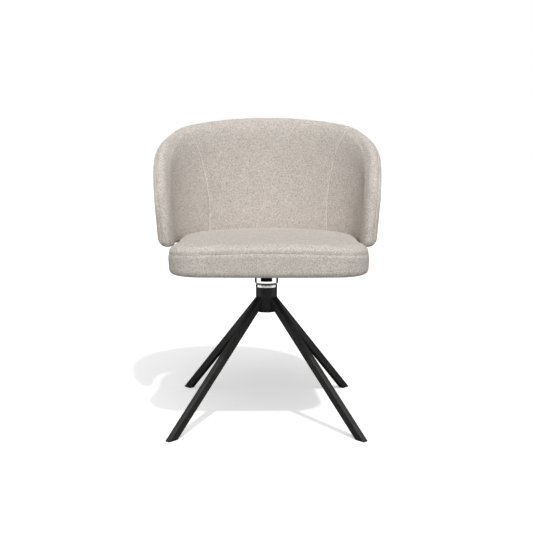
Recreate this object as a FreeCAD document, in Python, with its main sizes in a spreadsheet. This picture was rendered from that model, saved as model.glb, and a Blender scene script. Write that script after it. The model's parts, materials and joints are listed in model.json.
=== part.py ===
"""Swivel dining chair: upholstered tub seat on a black steel four-leg swivel base.

Millimetres, +Z up, the front of the chair towards -Y. The origin lies on the floor
under the swivel axis. Left and right are those of the person who sits in the chair,
so left is +X.
"""
import FreeCAD, Part
import Sketcher
import os
import re
from math import atan, atan2, copysign, cos, degrees, pi, radians, sin, sqrt, tan

V = FreeCAD.Vector
UP = V(0, 0, 1)
doc = FreeCAD.newDocument("SwivelChair")

# Sizes, each in its own cell of the sheet
SIZES = {
    # Hub and swivel bearing
    "hub_bottom": 276,  # height of the hub's lower end
    "hub_length": 66,  # length of the hub tube
    "hub_od": 56,  # hub tube, outside diameter
    "hub_wall": 3.5,  # hub tube, wall
    "hub_chamfer": 1,  # chamfer on the hub's lower edge
    "fit_gap": 0.05,  # radial gap of a pressed or welded seat
    "run_gap": 0.05,  # radial gap of a running fit
    "cap_floor": 3,  # thickness of the bottom cap
    "cap_depth": 9,  # depth of the bottom cap's rim
    "cap_wall": 2,  # wall of the bottom cap's rim
    "bush_length": 20,  # length of each bush
    "bush_space": 2,  # space between the bushes
    "bush_edge": 1,  # chamfer on a bush's bore
    "spindle_od": 25,  # spindle, diameter in the bushes
    "spindle_shoulder": 36,  # spindle, diameter above the bearing
    "spindle_tail": 4.5,  # spindle below the retaining ring
    "spindle_spigot": 20,  # spigot that is welded into the seat plate
    "ring_groove": 1.2,  # depth of the retaining ring's groove
    "ring_thick": 1.5,  # retaining ring, thickness
    "ring_od": 30,  # retaining ring, outside diameter
    "ring_mouth": 50,  # opening of the retaining ring, degrees
    "thrust_thick": 3,  # thrust washer, thickness
    "thrust_od": 42,  # thrust washer, outside diameter
    "stack_gap": 0.2,  # end play under the lower bush
    "race_od": 57,  # lower race, outside diameter
    "race_thick": 6,  # lower race, thickness
    "race_spigot": 5,  # spigot of the lower race inside the hub
    "race_bore": 27,  # bore of both races
    "race_step": 4,  # gap between the races
    "race_edge": 0.8,  # chamfer on the lower race
    "upper_race_thick": 6,  # upper race, thickness
    "ball_size": 6,  # diameter of a ball
    "ball_circle": 42,  # pitch circle of the balls
    "ball_count": 12,  # number of balls
    "ball_gap": 0.1,  # gap between ball and race
    "pocket_gap": 0.2,  # gap between ball and cage
    "cage_thick": 1.6,  # cage, thickness
    "cage_width": 12,  # cage, width of the ring
    "collar_od": 62,  # chrome collar, outside diameter
    "collar_wall": 2,  # chrome collar, wall
    "collar_drop": 2,  # chrome collar's lower edge above the lower race
    "collar_round": 2.5,  # round on the chrome collar's lower edge
    "collar_length": 53.2,  # length of the chrome collar

    # Legs
    "leg_width": 16,  # leg tube, width
    "leg_height": 20,  # leg tube, height across the slope
    "leg_wall": 1.5,  # leg tube, wall
    "leg_round": 2,  # leg tube, corner radius
    "leg_reach": 341,  # outer corner of a foot from the swivel axis
    "leg_below": 26,  # upper edge of a leg below the hub's top, where they meet
    "leg_first": 45,  # direction of the first leg, degrees
    "glide_drop": 0.8,  # how far a glide stands below the tube
    "glide_length": 9,  # height of a glide

    # Seat plate and its fixings
    "plate_side": 165,  # seat plate, side
    "plate_thick": 3,  # seat plate, thickness
    "plate_rim": 9,  # seat plate, height of the folded rim
    "plate_corner": 18,  # seat plate, corner radius
    "plate_pitch": 120,  # seat plate, distance between bolts
    "bolt_size": 8,  # seat bolt, thread
    "bolt_head": 13,  # seat bolt, across flats
    "bolt_head_thick": 5.3,  # seat bolt, head height
    "washer_od": 18,  # washer, outside diameter
    "washer_thick": 1.6,  # washer, thickness
    "hole_gap": 0.5,  # radial gap round a bolt
    "thread_gap": 0.1,  # radial gap in a threaded insert
    "insert_wall": 1.6,  # threaded insert, wall
    "insert_flange": 22,  # threaded insert, flange
    "insert_flange_thick": 1.4,  # threaded insert, flange thickness

    # Seat cushion
    "seat_front": 271,  # front of the seat from the swivel axis
    "seat_bottom": 407.6,  # height of the seat's underside
    "seat_line": 460,  # height of the seam round the seat's top
    "seat_crown": 23,  # rise of the cushion above its seam
    "seat_corner": 84,  # front corner radius of the seat
    "seat_flare": 150,  # radius where the seat widens past the arms
    "seat_spread": 6,  # splay of the seat's front sides, degrees
    "seat_bow": 2,  # bow of the front edge, degrees at its end
    "seat_gap": 0.8,  # gap between the seat and the back
    "seat_roll": 22,  # lower edge radius of the seat
    "seam_inset": 6,  # how far the top seam is drawn in
    "cover_thick": 1.5,  # upholstery fabric with its lining
    "soft_gap": 0.3,  # gap round a soft piece
    "lip_width": 38,  # fabric turned in under the board
    "board_thick": 12,  # seat board, thickness
    "board_inset": 24,  # seat board's edge inside the seat's side
    "dust_thick": 1,  # dust cover, thickness
    "dust_inset": 30,  # dust cover's edge inside the seat's side

    # Back, a curved wall of even thickness
    "back_rear": 223.5,  # middle of the back from the swivel axis
    "rear_radius": 299,  # plan radius across the rear
    "rear_turn": 45,  # half angle of the rear arc, degrees
    "side_radius": 173,  # plan radius round to the arms
    "arm_radius": 583,  # plan radius along the arms
    "arm_turn": 98.2,  # angle at the front of the arms, degrees
    "back_lean": 4.3,  # outward lean of the wall, degrees
    "back_half": 24,  # half the thickness of the wall
    "back_top": 790,  # height of the back
    "rim_fall": 101,  # fall of the rim from the rear to the sides
    "arm_fall": 22,  # further fall of the rim along the arms
    "arm_nose": 110,  # fall of the rim round the arm's front
    "rear_low": 425,  # lower edge of the back at the rear
    "arm_low": 454,  # lower edge of the arms
    "toe_round": 10,  # radius of the wall's lower inner edge
    "shell_half": 4.5,  # half the thickness of the plywood shell
    "shell_top": 28,  # shell's top edge below the rim
    "shell_low": 9,  # shell's lower edge above the wall's
    "shell_end": 26,  # shell's front edge behind the arm's front
    "rim_seam": 36,  # angle of the seam over the rim, degrees
    "seam_low_x": 161,  # inner seam at the seat, from the middle
    "seam_mid_x": 167.5,  # inner seam half way up
    "seam_mid_z": 600,  # height where the inner seam starts to turn out
    "seam_turn_x": 186,  # inner seam in its outward turn
    "seam_turn_z": 690,  # height of that point
    "seam_high_x": 219,  # inner seam close to the rim
    "seam_high_z": 755,  # height of that point

    # Steel brackets that carry the back
    "bracket_turn": 25,  # direction of a bracket, degrees off the rear
    "bracket_width": 34,  # bracket, width
    "bracket_thick": 4,  # bracket, thickness
    "bracket_reach": 105,  # bracket under the seat
    "bracket_top": 525,  # height of the bracket's upper end
    "bracket_bend": 6,  # inside bend radius of the bracket
    "bracket_low_bolt": 12,  # bolt from the bracket's inner end
    "bracket_bolt_step": 34,  # distance between a bracket's two seat bolts
    "bracket_high_bolt": 15,  # upper screw below the bracket's top
    "bracket_screw_step": 34,  # distance between a bracket's two back screws
    "bracket_bolt": 6,  # bracket bolts, thread
    "bracket_room": 0.6,  # further room for a flat bracket in the curved wall
    "bracket_bolt_head": 10,  # bracket bolts, across flats
    "bracket_head_thick": 4,  # bracket bolts, head height
}

sheet = doc.addObject("Spreadsheet::Sheet", "Sizes")
for row, (alias, number) in enumerate(SIZES.items(), start=1):
    sheet.set("A" + str(row), alias)
    sheet.set("B" + str(row), str(number))
    sheet.setAlias("B" + str(row), alias)
doc.recompute()


def val(text):
    """Number that a sheet expression gives."""
    return float(sheet.evalExpression(text))


def linked(text):
    """The same expression with every size named on the sheet."""
    return re.sub(r"[a-z][a-z_]*", lambda w: "Sizes." + w.group() if w.group() in SIZES
                  else w.group(), text)


# Heights and radii that several pieces share, as expressions of the sheet
HUB_TOP = "(hub_bottom + hub_length)"
HUB_BORE = "(hub_od / 2 - hub_wall)"
BUSH_OUT = "(" + HUB_BORE + " - fit_gap)"
RACE_TOP = "(" + HUB_TOP + " + race_thick)"
UPPER_RACE = "(" + RACE_TOP + " + race_step)"
SHOULDER = "(" + UPPER_RACE + " + upper_race_thick)"
BALL_Z = "(" + RACE_TOP + " + race_step / 2)"
COLLAR_LOW = "(" + RACE_TOP + " + collar_drop)"
PLATE_LOW = "(" + COLLAR_LOW + " + collar_length)"
PLATE_TOP = "(" + PLATE_LOW + " + plate_thick)"
UPPER_BUSH = "(" + HUB_TOP + " - race_spigot - bush_length - fit_gap)"
LOWER_BUSH = "(" + UPPER_BUSH + " - bush_space - bush_length)"
THRUST_TOP = "(" + LOWER_BUSH + " - stack_gap)"
THRUST_LOW = "(" + THRUST_TOP + " - thrust_thick)"
RING_TOP = "(" + THRUST_LOW + " - fit_gap)"
RING_LOW = "(" + RING_TOP + " - ring_thick)"
SPINDLE_LOW = "(" + RING_LOW + " - spindle_tail)"
LEG_RISE = "((" + HUB_TOP + " - leg_below) / (leg_reach - hub_od / 2))"
LEG_SLANT = "(sqrt(1 + " + LEG_RISE + " ^ 2) / " + LEG_RISE + ")"


# Helpers for bodies with sketches

def new_body(name):
    body = doc.addObject("PartDesign::Body", name)
    body.Label = name
    return body


def origin_item(body, role):
    return [item for item in body.Origin.OriginFeatures if item.Role == role][0]


def new_sketch(body, name, role):
    sketch = body.newObject("Sketcher::SketchObject", name)
    sketch.AttachmentSupport = (origin_item(body, role), [""])
    sketch.MapMode = "FlatFace"
    return sketch


def place_point(sketch, geometry, vertex, across, up):
    """Ties one point of a sketch to two expressions, measured from the origin."""
    for kind, text in (("DistanceX", across), ("DistanceY", up)):
        index = sketch.addConstraint(Sketcher.Constraint(kind, -1, 1, geometry, vertex, val(text)))
        sketch.setExpression("Constraints[" + str(index) + "]", linked(text))


def polygon(body, name, role, corners):
    """Closed outline of straight lines through corners given as expressions."""
    sketch = new_sketch(body, name, role)
    spots = [V(val(across), val(up), 0) for across, up in corners]
    count = len(spots)
    for index in range(count):
        sketch.addGeometry(Part.LineSegment(spots[index], spots[(index + 1) % count]), False)
    for index in range(count):
        nearby = (index + 1) % count
        sketch.addConstraint(Sketcher.Constraint("Coincident", index, 2, nearby, 1))
    for index, (across, up) in enumerate(corners):
        place_point(sketch, index, 1, across, up)
    return sketch


def circles(body, name, role, rings):
    """Circles given as centre and radius expressions."""
    sketch = new_sketch(body, name, role)
    for across, up, radius in rings:
        spot = V(val(across), val(up), 0)
        index = sketch.addGeometry(Part.Circle(spot, V(0, 0, 1), val(radius)), False)
        place_point(sketch, index, 3, across, up)
        ring = sketch.addConstraint(Sketcher.Constraint("Radius", index, val(radius)))
        sketch.setExpression("Constraints[" + str(ring) + "]", linked(radius))
    return sketch


def turned(name, corners):
    """Body of revolution about Z, from an outline in radius and height."""
    body = new_body(name)
    sketch = polygon(body, name + "_outline", "XZ_Plane", corners)
    turn = body.newObject("PartDesign::Revolution", name + "_turn")
    turn.Profile = sketch
    turn.ReferenceAxis = (sketch, ["V_Axis"])
    turn.Angle = 360
    doc.recompute()
    return body


def edges_where(shape, test):
    return ["Edge" + str(i + 1) for i, edge in enumerate(shape.Edges) if test(edge)]


def rounded(body, name, kind, text, test):
    """Fillet or chamfer on the edges that pass the test."""
    base = body.Tip
    names = edges_where(base.Shape, test)
    feature = body.newObject("PartDesign::" + kind, name)
    feature.Base = (base, names)
    field = "Radius" if kind == "Fillet" else "Size"
    setattr(feature, field, val(text))
    feature.setExpression(field, linked(text))
    doc.recompute()
    return feature


def cut_down(before, body):
    """A cut has to take material away."""
    if body.Shape.Volume > before - 1e-3:
        raise ValueError(body.Label + ": a cut took nothing away")


def through_cut(body, sketch, name):
    before = body.Shape.Volume
    pocket = body.newObject("PartDesign::Pocket", name)
    pocket.Profile = sketch
    pocket.Type = "ThroughAll"
    pocket.Midplane = True
    doc.recompute()
    cut_down(before, body)
    return pocket


def coded(name, shape):
    """Piece whose shape is worked out in code from the sheet."""
    piece = doc.addObject("Part::Feature", name)
    piece.Label = name
    piece.Shape = shape
    piece.Placement = FreeCAD.Placement(V(0, 0, 0), FreeCAD.Rotation())
    return piece


# Base: hub tube with its cap and bushes

def make_hub():
    outside = "hub_od / 2"
    body = turned("base_hub", [(HUB_BORE, "hub_bottom"), (outside, "hub_bottom"),
                               (outside, HUB_TOP), (HUB_BORE, HUB_TOP)])
    rim = val(outside)
    low = val("hub_bottom")
    rounded(body, "hub_edge", "Chamfer", "hub_chamfer",
            lambda e: abs(e.BoundBox.ZMax - low) < 0.01 and abs(e.BoundBox.XMax - rim) < 0.01)
    return body


def make_cap():
    outside = BUSH_OUT
    inside = "(" + BUSH_OUT + " - cap_wall)"
    top = "(hub_bottom + cap_depth)"
    floor = "(hub_bottom + cap_floor)"
    return turned("hub_bottom_cap", [("0", "hub_bottom"), (outside, "hub_bottom"),
                                     (outside, top), (inside, top), (inside, floor), ("0", floor)])


def make_bush(name, low):
    bore = "(spindle_od / 2 + run_gap)"
    eased = "(spindle_od / 2 + run_gap + bush_edge)"
    top = "(" + low + " + bush_length)"
    return turned(name, [(eased, low), (BUSH_OUT, low), (BUSH_OUT, top), (eased, top),
                         (bore, "(" + top + " - bush_edge)"), (bore, "(" + low + " + bush_edge)")])


def race_groove(body, name):
    """Ball track: a ring of round section cut out of a race."""
    before = body.Shape.Volume
    sketch = circles(body, name, "XZ_Plane", [("ball_circle / 2", BALL_Z, "ball_size / 2 + ball_gap")])
    groove = body.newObject("PartDesign::Groove", name + "_cut")
    groove.Profile = sketch
    groove.ReferenceAxis = (sketch, ["V_Axis"])
    groove.Angle = 360
    doc.recompute()
    cut_down(before, body)


def make_lower_race():
    outside = "race_od / 2"
    bore = "race_bore / 2"
    low = "(" + HUB_TOP + " - race_spigot)"
    eased = "(race_od / 2 - race_edge)"
    body = turned("lower_race", [(bore, low), (BUSH_OUT, low), (BUSH_OUT, HUB_TOP), (outside, HUB_TOP),
                                 (outside, "(" + RACE_TOP + " - race_edge)"), (eased, RACE_TOP),
                                 (bore, RACE_TOP)])
    race_groove(body, "lower_track")
    return body


def make_upper_race():
    outside = "(collar_od / 2 - collar_wall - fit_gap)"
    bore = "race_bore / 2"
    body = turned("upper_race", [(bore, UPPER_RACE), (outside, UPPER_RACE), (outside, SHOULDER),
                                 (bore, SHOULDER)])
    race_groove(body, "upper_track")
    return body


def make_cage():
    inner = "(ball_circle / 2 - cage_width / 2)"
    outer = "(ball_circle / 2 + cage_width / 2)"
    low = "(" + BALL_Z + " - cage_thick / 2)"
    top = "(" + BALL_Z + " + cage_thick / 2)"
    body = turned("ball_cage", [(inner, low), (outer, low), (outer, top), (inner, top)])
    hole = circles(body, "cage_pocket", "XY_Plane", [("ball_circle / 2", "0", "ball_size / 2 + pocket_gap")])
    cut = through_cut(body, hole, "cage_pocket_cut")
    pattern = body.newObject("PartDesign::PolarPattern", "cage_pockets")
    pattern.Originals = [cut]
    pattern.Axis = (origin_item(body, "Z_Axis"), [""])
    pattern.Angle = 360
    pattern.Occurrences = int(val("ball_count"))
    pattern.setExpression("Occurrences", linked("ball_count"))
    body.Tip = pattern
    doc.recompute()
    return body


def make_balls():
    ball = doc.addObject("Part::Sphere", "ball")
    ball.setExpression("Radius", linked("ball_size / 2"))
    doc.recompute()
    count = int(val("ball_count"))
    shapes = []
    for index in range(count):
        turn = 2 * pi * index / count
        spot = V(val("ball_circle / 2") * cos(turn), val("ball_circle / 2") * sin(turn), val(BALL_Z))
        copy = ball.Shape.copy()
        copy.Placement = FreeCAD.Placement(spot, FreeCAD.Rotation())
        shapes.append(copy)
    return coded("bearing_balls", Part.makeCompound(shapes))


# Legs: rectangular tube, cut flush with the floor and coped to the hub

def leg_line(offset, radius):
    """Height on a sloping edge of the leg at a distance from the axis."""
    return "((leg_reach - " + offset + " - " + radius + ") * " + LEG_RISE + ")"


def leg_corners(offset_out, offset_in, low):
    """Side outline between two sloping edges, from the cut at the floor into the hub."""
    inner = "(hub_od / 4)"
    out_low = "(leg_reach - " + offset_out + " - " + low + " / " + LEG_RISE + ")"
    in_low = "(leg_reach - " + offset_in + " - " + low + " / " + LEG_RISE + ")"
    return [(out_low, low), (inner, leg_line(offset_out, inner)),
            (inner, leg_line(offset_in, inner)), (in_low, low)]


def make_leg(name, turn):
    body = new_body(name)
    across = "(leg_height * " + LEG_SLANT + ")"
    skin = "(leg_wall * " + LEG_SLANT + ")"
    outline = polygon(body, name + "_side", "XZ_Plane", leg_corners("0", across, "glide_drop"))
    bar = body.newObject("PartDesign::Pad", name + "_bar")
    bar.Profile = outline
    bar.Midplane = True
    bar.Length = val("leg_width")
    bar.setExpression("Length", linked("leg_width"))
    doc.recompute()
    slope = atan(val(LEG_RISE))
    along = V(-cos(slope), 0, sin(slope))
    rounded(body, name + "_corners", "Fillet", "leg_round",
            lambda e: e.Length > 100 and abs(abs(e.tangentAt(e.FirstParameter).dot(along)) - 1) < 1e-4)
    before = body.Shape.Volume
    inner_high = skin
    inner_low = "(" + across + " - " + skin + ")"
    bore = polygon(body, name + "_bore", "XZ_Plane", leg_corners(inner_high, inner_low, "(-10)"))
    hollow = body.newObject("PartDesign::Pocket", name + "_hollow")
    hollow.Profile = bore
    hollow.Midplane = True
    hollow.Length = val("leg_width - 2 * leg_wall")
    hollow.setExpression("Length", linked("leg_width - 2 * leg_wall"))
    doc.recompute()
    cut_down(before, body)
    cope = circles(body, name + "_cope", "XY_Plane", [("0", "0", "hub_od / 2 + fit_gap")])
    through_cut(body, cope, name + "_cope_cut")
    body.Placement = FreeCAD.Placement(V(0, 0, 0), FreeCAD.Rotation(UP, turn))
    return body


def make_glide(name, turn):
    """Plastic plug in the foot of a leg, just proud of the tube."""
    body = new_body(name)
    across = "(leg_height * " + LEG_SLANT + ")"
    skin = "((leg_wall + fit_gap) * " + LEG_SLANT + ")"
    inner = "(" + across + " - " + skin + ")"
    foot = LEG_RISE
    high = "glide_length"
    outline = polygon(body, name + "_side", "XZ_Plane", [
        ("(leg_reach - " + skin + ")", "0"),
        ("(leg_reach - " + skin + " - " + high + " / " + foot + ")", high),
        ("(leg_reach - " + inner + " - " + high + " / " + foot + ")", high),
        ("(leg_reach - " + inner + ")", "0")])
    plug = body.newObject("PartDesign::Pad", name + "_plug")
    plug.Profile = outline
    plug.Midplane = True
    plug.Length = val("leg_width - 2 * leg_wall - 2 * fit_gap")
    plug.setExpression("Length", linked("leg_width - 2 * leg_wall - 2 * fit_gap"))
    doc.recompute()
    body.Placement = FreeCAD.Placement(V(0, 0, 0), FreeCAD.Rotation(UP, turn))
    return body


# Swivelling side: spindle, retaining ring, collar, seat plate

def make_spindle():
    run = "spindle_od / 2"
    neck = "(spindle_od / 2 - ring_groove)"
    wide = "spindle_shoulder / 2"
    spigot = "spindle_spigot / 2"
    return turned("spindle", [("0", SPINDLE_LOW), (run, SPINDLE_LOW), (run, "(" + RING_LOW + " - fit_gap)"),
                              (neck, "(" + RING_LOW + " - fit_gap)"), (neck, "(" + RING_TOP + " + fit_gap)"),
                              (run, "(" + RING_TOP + " + fit_gap)"), (run, SHOULDER), (wide, SHOULDER),
                              (wide, PLATE_LOW), (spigot, PLATE_LOW), (spigot, PLATE_TOP),
                              ("0", PLATE_TOP)])


def make_ring():
    """Retaining ring: a flat open ring in the spindle's groove."""
    inside = "(spindle_od / 2 - ring_groove + fit_gap)"
    body = turned("retaining_ring", [(inside, RING_LOW), ("ring_od / 2", RING_LOW),
                                     ("ring_od / 2", RING_TOP), (inside, RING_TOP)])
    half = "(ring_od * tan(ring_mouth * 0.5deg))"
    mouth = polygon(body, "ring_gap", "XY_Plane",
                    [("0", "0"), ("ring_od", half), ("ring_od", "(0 - " + half + ")")])
    through_cut(body, mouth, "ring_gap_cut")
    return body


def make_thrust_washer():
    bore = "(spindle_od / 2 + fit_gap)"
    return turned("thrust_washer", [(bore, THRUST_LOW), ("thrust_od / 2", THRUST_LOW),
                                    ("thrust_od / 2", THRUST_TOP), (bore, THRUST_TOP)])


def make_collar():
    outside = "collar_od / 2"
    inside = "(collar_od / 2 - collar_wall)"
    body = turned("swivel_collar", [(inside, COLLAR_LOW), (outside, COLLAR_LOW),
                                    (outside, PLATE_LOW), (inside, PLATE_LOW)])
    low = val(COLLAR_LOW)
    rim = val(outside)
    rounded(body, "collar_lower_round", "Fillet", "min(collar_round; collar_wall * 0.95)",
            lambda e: abs(e.BoundBox.ZMax - low) < 0.01 and abs(e.BoundBox.XMax - rim) < 0.01)
    return body


def square(half):
    other = "(0 - " + half + ")"
    return [(half, half), (other, half), (other, other), (half, other)]


def make_plate():
    """Pressed steel plate: a square tray with its rim folded down."""
    body = new_body("seat_plate")
    side = "(plate_side / 2)"
    outline = polygon(body, "plate_outline", "XY_Plane", square(side))
    tray = body.newObject("PartDesign::Pad", "plate_tray")
    tray.Profile = outline
    tray.Length = val("plate_rim")
    tray.setExpression("Length", linked("plate_rim"))
    doc.recompute()
    rounded(body, "plate_corners", "Fillet", "plate_corner",
            lambda e: abs(e.tangentAt(e.FirstParameter).z) > 0.99)
    before = body.Shape.Volume
    base = body.Tip
    open_face = ["Face" + str(i + 1) for i, face in enumerate(base.Shape.Faces)
                 if abs(face.BoundBox.ZMax) < 0.01]
    hollow = body.newObject("PartDesign::Thickness", "plate_hollow")
    hollow.Base = (base, open_face)
    hollow.Reversed = True
    hollow.Value = val("plate_thick")
    hollow.setExpression("Value", linked("plate_thick"))
    doc.recompute()
    cut_down(before, body)
    bolt = "(bolt_size / 2 + hole_gap)"
    place = "(plate_pitch / 2)"
    rings = [("0", "0", "spindle_spigot / 2 + fit_gap")]
    rings += [(across, up, bolt) for across, up in square(place)]
    holes = circles(body, "plate_holes", "XY_Plane", rings)
    through_cut(body, holes, "plate_hole_cut")
    body.Placement = FreeCAD.Placement(V(0, 0, val(PLATE_TOP + " - plate_rim")), FreeCAD.Rotation())
    body.setExpression("Placement.Base.z", linked(PLATE_TOP + " - plate_rim"))
    doc.recompute()
    return body


def bolt_spots():
    half = val("plate_pitch / 2")
    return [(half, half), (-half, half), (-half, -half), (half, -half)]


def hexagon(flats, low, thick):
    corner = flats / 2 / cos(pi / 6)
    ring = [V(corner * cos(pi / 3 * k), corner * sin(pi / 3 * k), low) for k in range(7)]
    return Part.Face(Part.makePolygon(ring)).extrude(V(0, 0, thick))


def make_hex_bolts(name, spots, thread, flats, head, seat, top):
    """Hexagon bolts from below: the head under the seat face, the thread up to the top."""
    shapes = []
    for across, up in spots:
        bolt = hexagon(flats, seat - head, head).fuse(
            Part.makeCylinder(thread / 2, top - seat, V(0, 0, seat))).removeSplitter()
        bolt.Placement = FreeCAD.Placement(V(across, up, 0), FreeCAD.Rotation())
        shapes.append(bolt)
    return coded(name, Part.makeCompound(shapes))


def make_washers(name, spots, outside, bore, low, thick):
    shapes = []
    for across, up in spots:
        ring = Part.makeCylinder(outside / 2, thick, V(across, up, low))
        shapes.append(ring.cut(Part.makeCylinder(bore / 2, thick, V(across, up, low))))
    return coded(name, Part.makeCompound(shapes))


def make_inserts(name, spots, thread, board_low, board_top):
    """Threaded inserts: a barrel in the board with a flange on its upper face."""
    bore = thread / 2 + val("thread_gap")
    barrel = bore + val("insert_wall")
    flange = val("insert_flange_thick")
    wide = val("insert_flange") * thread / val("bolt_size") / 2
    shapes = []
    for across, up in spots:
        body = Part.makeCylinder(barrel, board_top - board_low, V(across, up, board_low))
        body = body.fuse(Part.makeCylinder(wide, flange, V(across, up, board_top))).removeSplitter()
        hole = Part.makeCylinder(bore, board_top + flange - board_low, V(across, up, board_low))
        shapes.append(body.cut(hole))
    return coded(name, Part.makeCompound(shapes))


# Plan curve of the back, and points of its wall

def plan_walk(steps, turn):
    """Point and direction after turning through arcs that meet in line."""
    x = 0.0
    y = 0.0
    for radius, first, last in steps:
        reached = min(turn, last)
        if reached > first:
            x += radius * (sin(radians(reached)) - sin(radians(first)))
            y += radius * (cos(radians(reached)) - cos(radians(first)))
    return x, y


def wall_plan(turn):
    side = val("rear_turn")
    steps = [(val("rear_radius"), 0, side), (val("side_radius"), side, 90), (val("arm_radius"), 90, 180)]
    x, y = plan_walk(steps, abs(turn))
    return copysign(x, turn), y + val("back_rear")


def wall_spot(turn, across, height):
    """Point of the wall: turn along the plan, distance out from its middle, height."""
    x, y = wall_plan(turn)
    out = across + (height - val("seat_line")) * tan(radians(val("back_lean")))
    return V(x + out * sin(radians(turn)), y + out * cos(radians(turn)), height)


def nose_turn(distance):
    """Turn at a distance back from the front of the arm."""
    return val("arm_turn") - degrees(distance / val("arm_radius"))


def wall_sizes(turn):
    """Half thickness, upper edge and lower edge of the wall at a turn."""
    full = val("back_half")
    part = abs(turn) / 90
    top = val("back_top") - val("rim_fall") * part ** 2 - val("arm_fall") * part ** 16
    low = val("rear_low") + (val("arm_low") - val("rear_low")) * sin(radians(min(abs(turn), 90))) ** 2
    ahead = radians(val("arm_turn") - abs(turn)) * val("arm_radius")
    half = full
    if ahead < full:
        half = sqrt(full ** 2 - (full - ahead) ** 2)
        top -= val("arm_nose") * (1 - half / full)
    return half, top, low


class Section:
    """One upright section of the wall, drawn as lines and quarter arcs."""

    def __init__(self, turn, inset):
        half, top, low = wall_sizes(turn)
        self.turn = turn
        self.half = half - inset
        self.high = top - half
        self.low = low + half
        self.foot = low + inset
        self.small = min(val("toe_round"), half * 0.8) - inset

    def spot(self, across, height):
        return wall_spot(self.turn, across, height)

    def upper(self, angle):
        """Point on the upper round, angle from the crest, outward positive."""
        return self.spot(self.half * sin(radians(angle)), self.high + self.half * cos(radians(angle)))

    def lower(self, angle):
        """Point on the lower round, angle from its lowest point."""
        return self.spot(self.half * sin(radians(angle)), self.low - self.half * cos(radians(angle)))

    def toe(self, angle):
        """Point on the smaller round of the lower inner edge, angle from straight down."""
        turn = radians(angle)
        return self.spot(-self.half + self.small * (1 - sin(turn)), self.foot + self.small * (1 - cos(turn)))

    def toe_arc(self):
        return Part.Arc(self.toe(0), self.toe(45), self.toe(90)).toShape()

    def upper_arc(self, first, last):
        return Part.Arc(self.upper(first), self.upper((first + last) / 2), self.upper(last)).toShape()

    def lower_arc(self, first, last):
        return Part.Arc(self.lower(first), self.lower((first + last) / 2), self.lower(last)).toShape()

    def angle_at(self, across):
        return degrees(atan2(across, sqrt(self.half ** 2 - across ** 2)))


def line(first, second):
    return Part.LineSegment(first, second).toShape()


def loft(wires):
    shape = Part.makeLoft(wires, True, False)
    if not shape.isValid() or shape.Volume <= 0:
        raise ValueError("a loft failed")
    return shape


def both_sides(turns):
    """The turns of one side, mirrored to the other."""
    return [-turn for turn in reversed(turns) if turn > 0] + turns


def rear_turns():
    """Turns from the middle of the back to the start of the arm's nose."""
    end = nose_turn(val("shell_end"))
    return [0, 14, 28, 42, 54, 64, 73, 80, 86, 91] + [end]


def nose_turns():
    share = [0.85, 0.6, 0.35, 0.16, 0.05]
    ahead = [val("shell_end"), val("back_half")] + [val("back_half") * part for part in share]
    return [nose_turn(distance) for distance in ahead]


def inner_cover_wire(turn):
    """Fabric over the rim, down the inner face and under the wall."""
    thick = val("cover_thick")
    out = Section(turn, 0)
    back = Section(turn, thick)
    seam = val("rim_seam")
    edges = [out.upper_arc(seam, 0), out.upper_arc(0, -90), line(out.upper(-90), out.toe(90)),
             out.toe_arc(), line(out.toe(0), out.lower(0)), line(out.lower(0), back.lower(0)),
             line(back.lower(0), back.toe(0)), back.toe_arc(), line(back.toe(90), back.upper(-90)),
             back.upper_arc(-90, 0), back.upper_arc(0, seam), line(back.upper(seam), out.upper(seam))]
    return Part.Wire(Part.__sortEdges__(edges))


def outer_cover_wire(turn):
    """Fabric from the seam near the rim, down the outer face and under the wall."""
    thick = val("cover_thick")
    out = Section(turn, 0)
    back = Section(turn, thick)
    seam = val("rim_seam") + 0.3
    edges = [out.upper_arc(seam, 90), line(out.upper(90), out.lower(90)), out.lower_arc(90, 0.3),
             line(out.lower(0.3), back.lower(0.3)), back.lower_arc(0.3, 90),
             line(back.lower(90), back.upper(90)), back.upper_arc(90, seam),
             line(back.upper(seam), out.upper(seam))]
    return Part.Wire(Part.__sortEdges__(edges))


def front_foam_wire(turn):
    """Foam in front of the shell and over its upper edge."""
    pad = Section(turn, val("cover_thick + soft_gap"))
    front = -val("shell_half + soft_gap")
    rear = val("shell_half + bracket_thick + bracket_room")
    half, top, low = wall_sizes(turn)
    over = top - val("shell_top - soft_gap")
    last = pad.angle_at(rear)
    foot = pad.spot(front, pad.foot)
    edges = [line(foot, pad.toe(0)), pad.toe_arc(), line(pad.toe(90), pad.upper(-90)),
             pad.upper_arc(-90, 0), pad.upper_arc(0, last), line(pad.upper(last), pad.spot(rear, over)),
             line(pad.spot(rear, over), pad.spot(front, over)), line(pad.spot(front, over), foot)]
    return Part.Wire(Part.__sortEdges__(edges))


def rear_foam_wire(turn):
    """Thinner foam behind the shell and the brackets."""
    pad = Section(turn, val("cover_thick + soft_gap"))
    start = val("shell_half + bracket_thick + bracket_room + soft_gap")
    angle = pad.angle_at(start)
    edges = [pad.lower_arc(angle, 90), line(pad.lower(90), pad.upper(90)), pad.upper_arc(90, angle),
             line(pad.upper(angle), pad.lower(angle))]
    return Part.Wire(Part.__sortEdges__(edges))


def shell_wire(turn):
    half, top, low = wall_sizes(turn)
    thick = val("shell_half")
    high = top - val("shell_top")
    foot = low + val("shell_low")
    corners = [wall_spot(turn, -thick, foot), wall_spot(turn, thick, foot),
               wall_spot(turn, thick, high), wall_spot(turn, -thick, high)]
    return Part.makePolygon(corners + corners[:1])


def roll_wire(turn):
    """Full section of the foam that wraps the arm's front edge."""
    pad = Section(turn, val("cover_thick + 2 * soft_gap"))
    edges = [pad.upper_arc(-90, 0), pad.upper_arc(0, 90), line(pad.upper(90), pad.lower(90)),
             pad.lower_arc(90, 0), line(pad.lower(0), pad.toe(0)), pad.toe_arc(),
             line(pad.toe(90), pad.upper(-90))]
    return Part.Wire(Part.__sortEdges__(edges))


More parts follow.
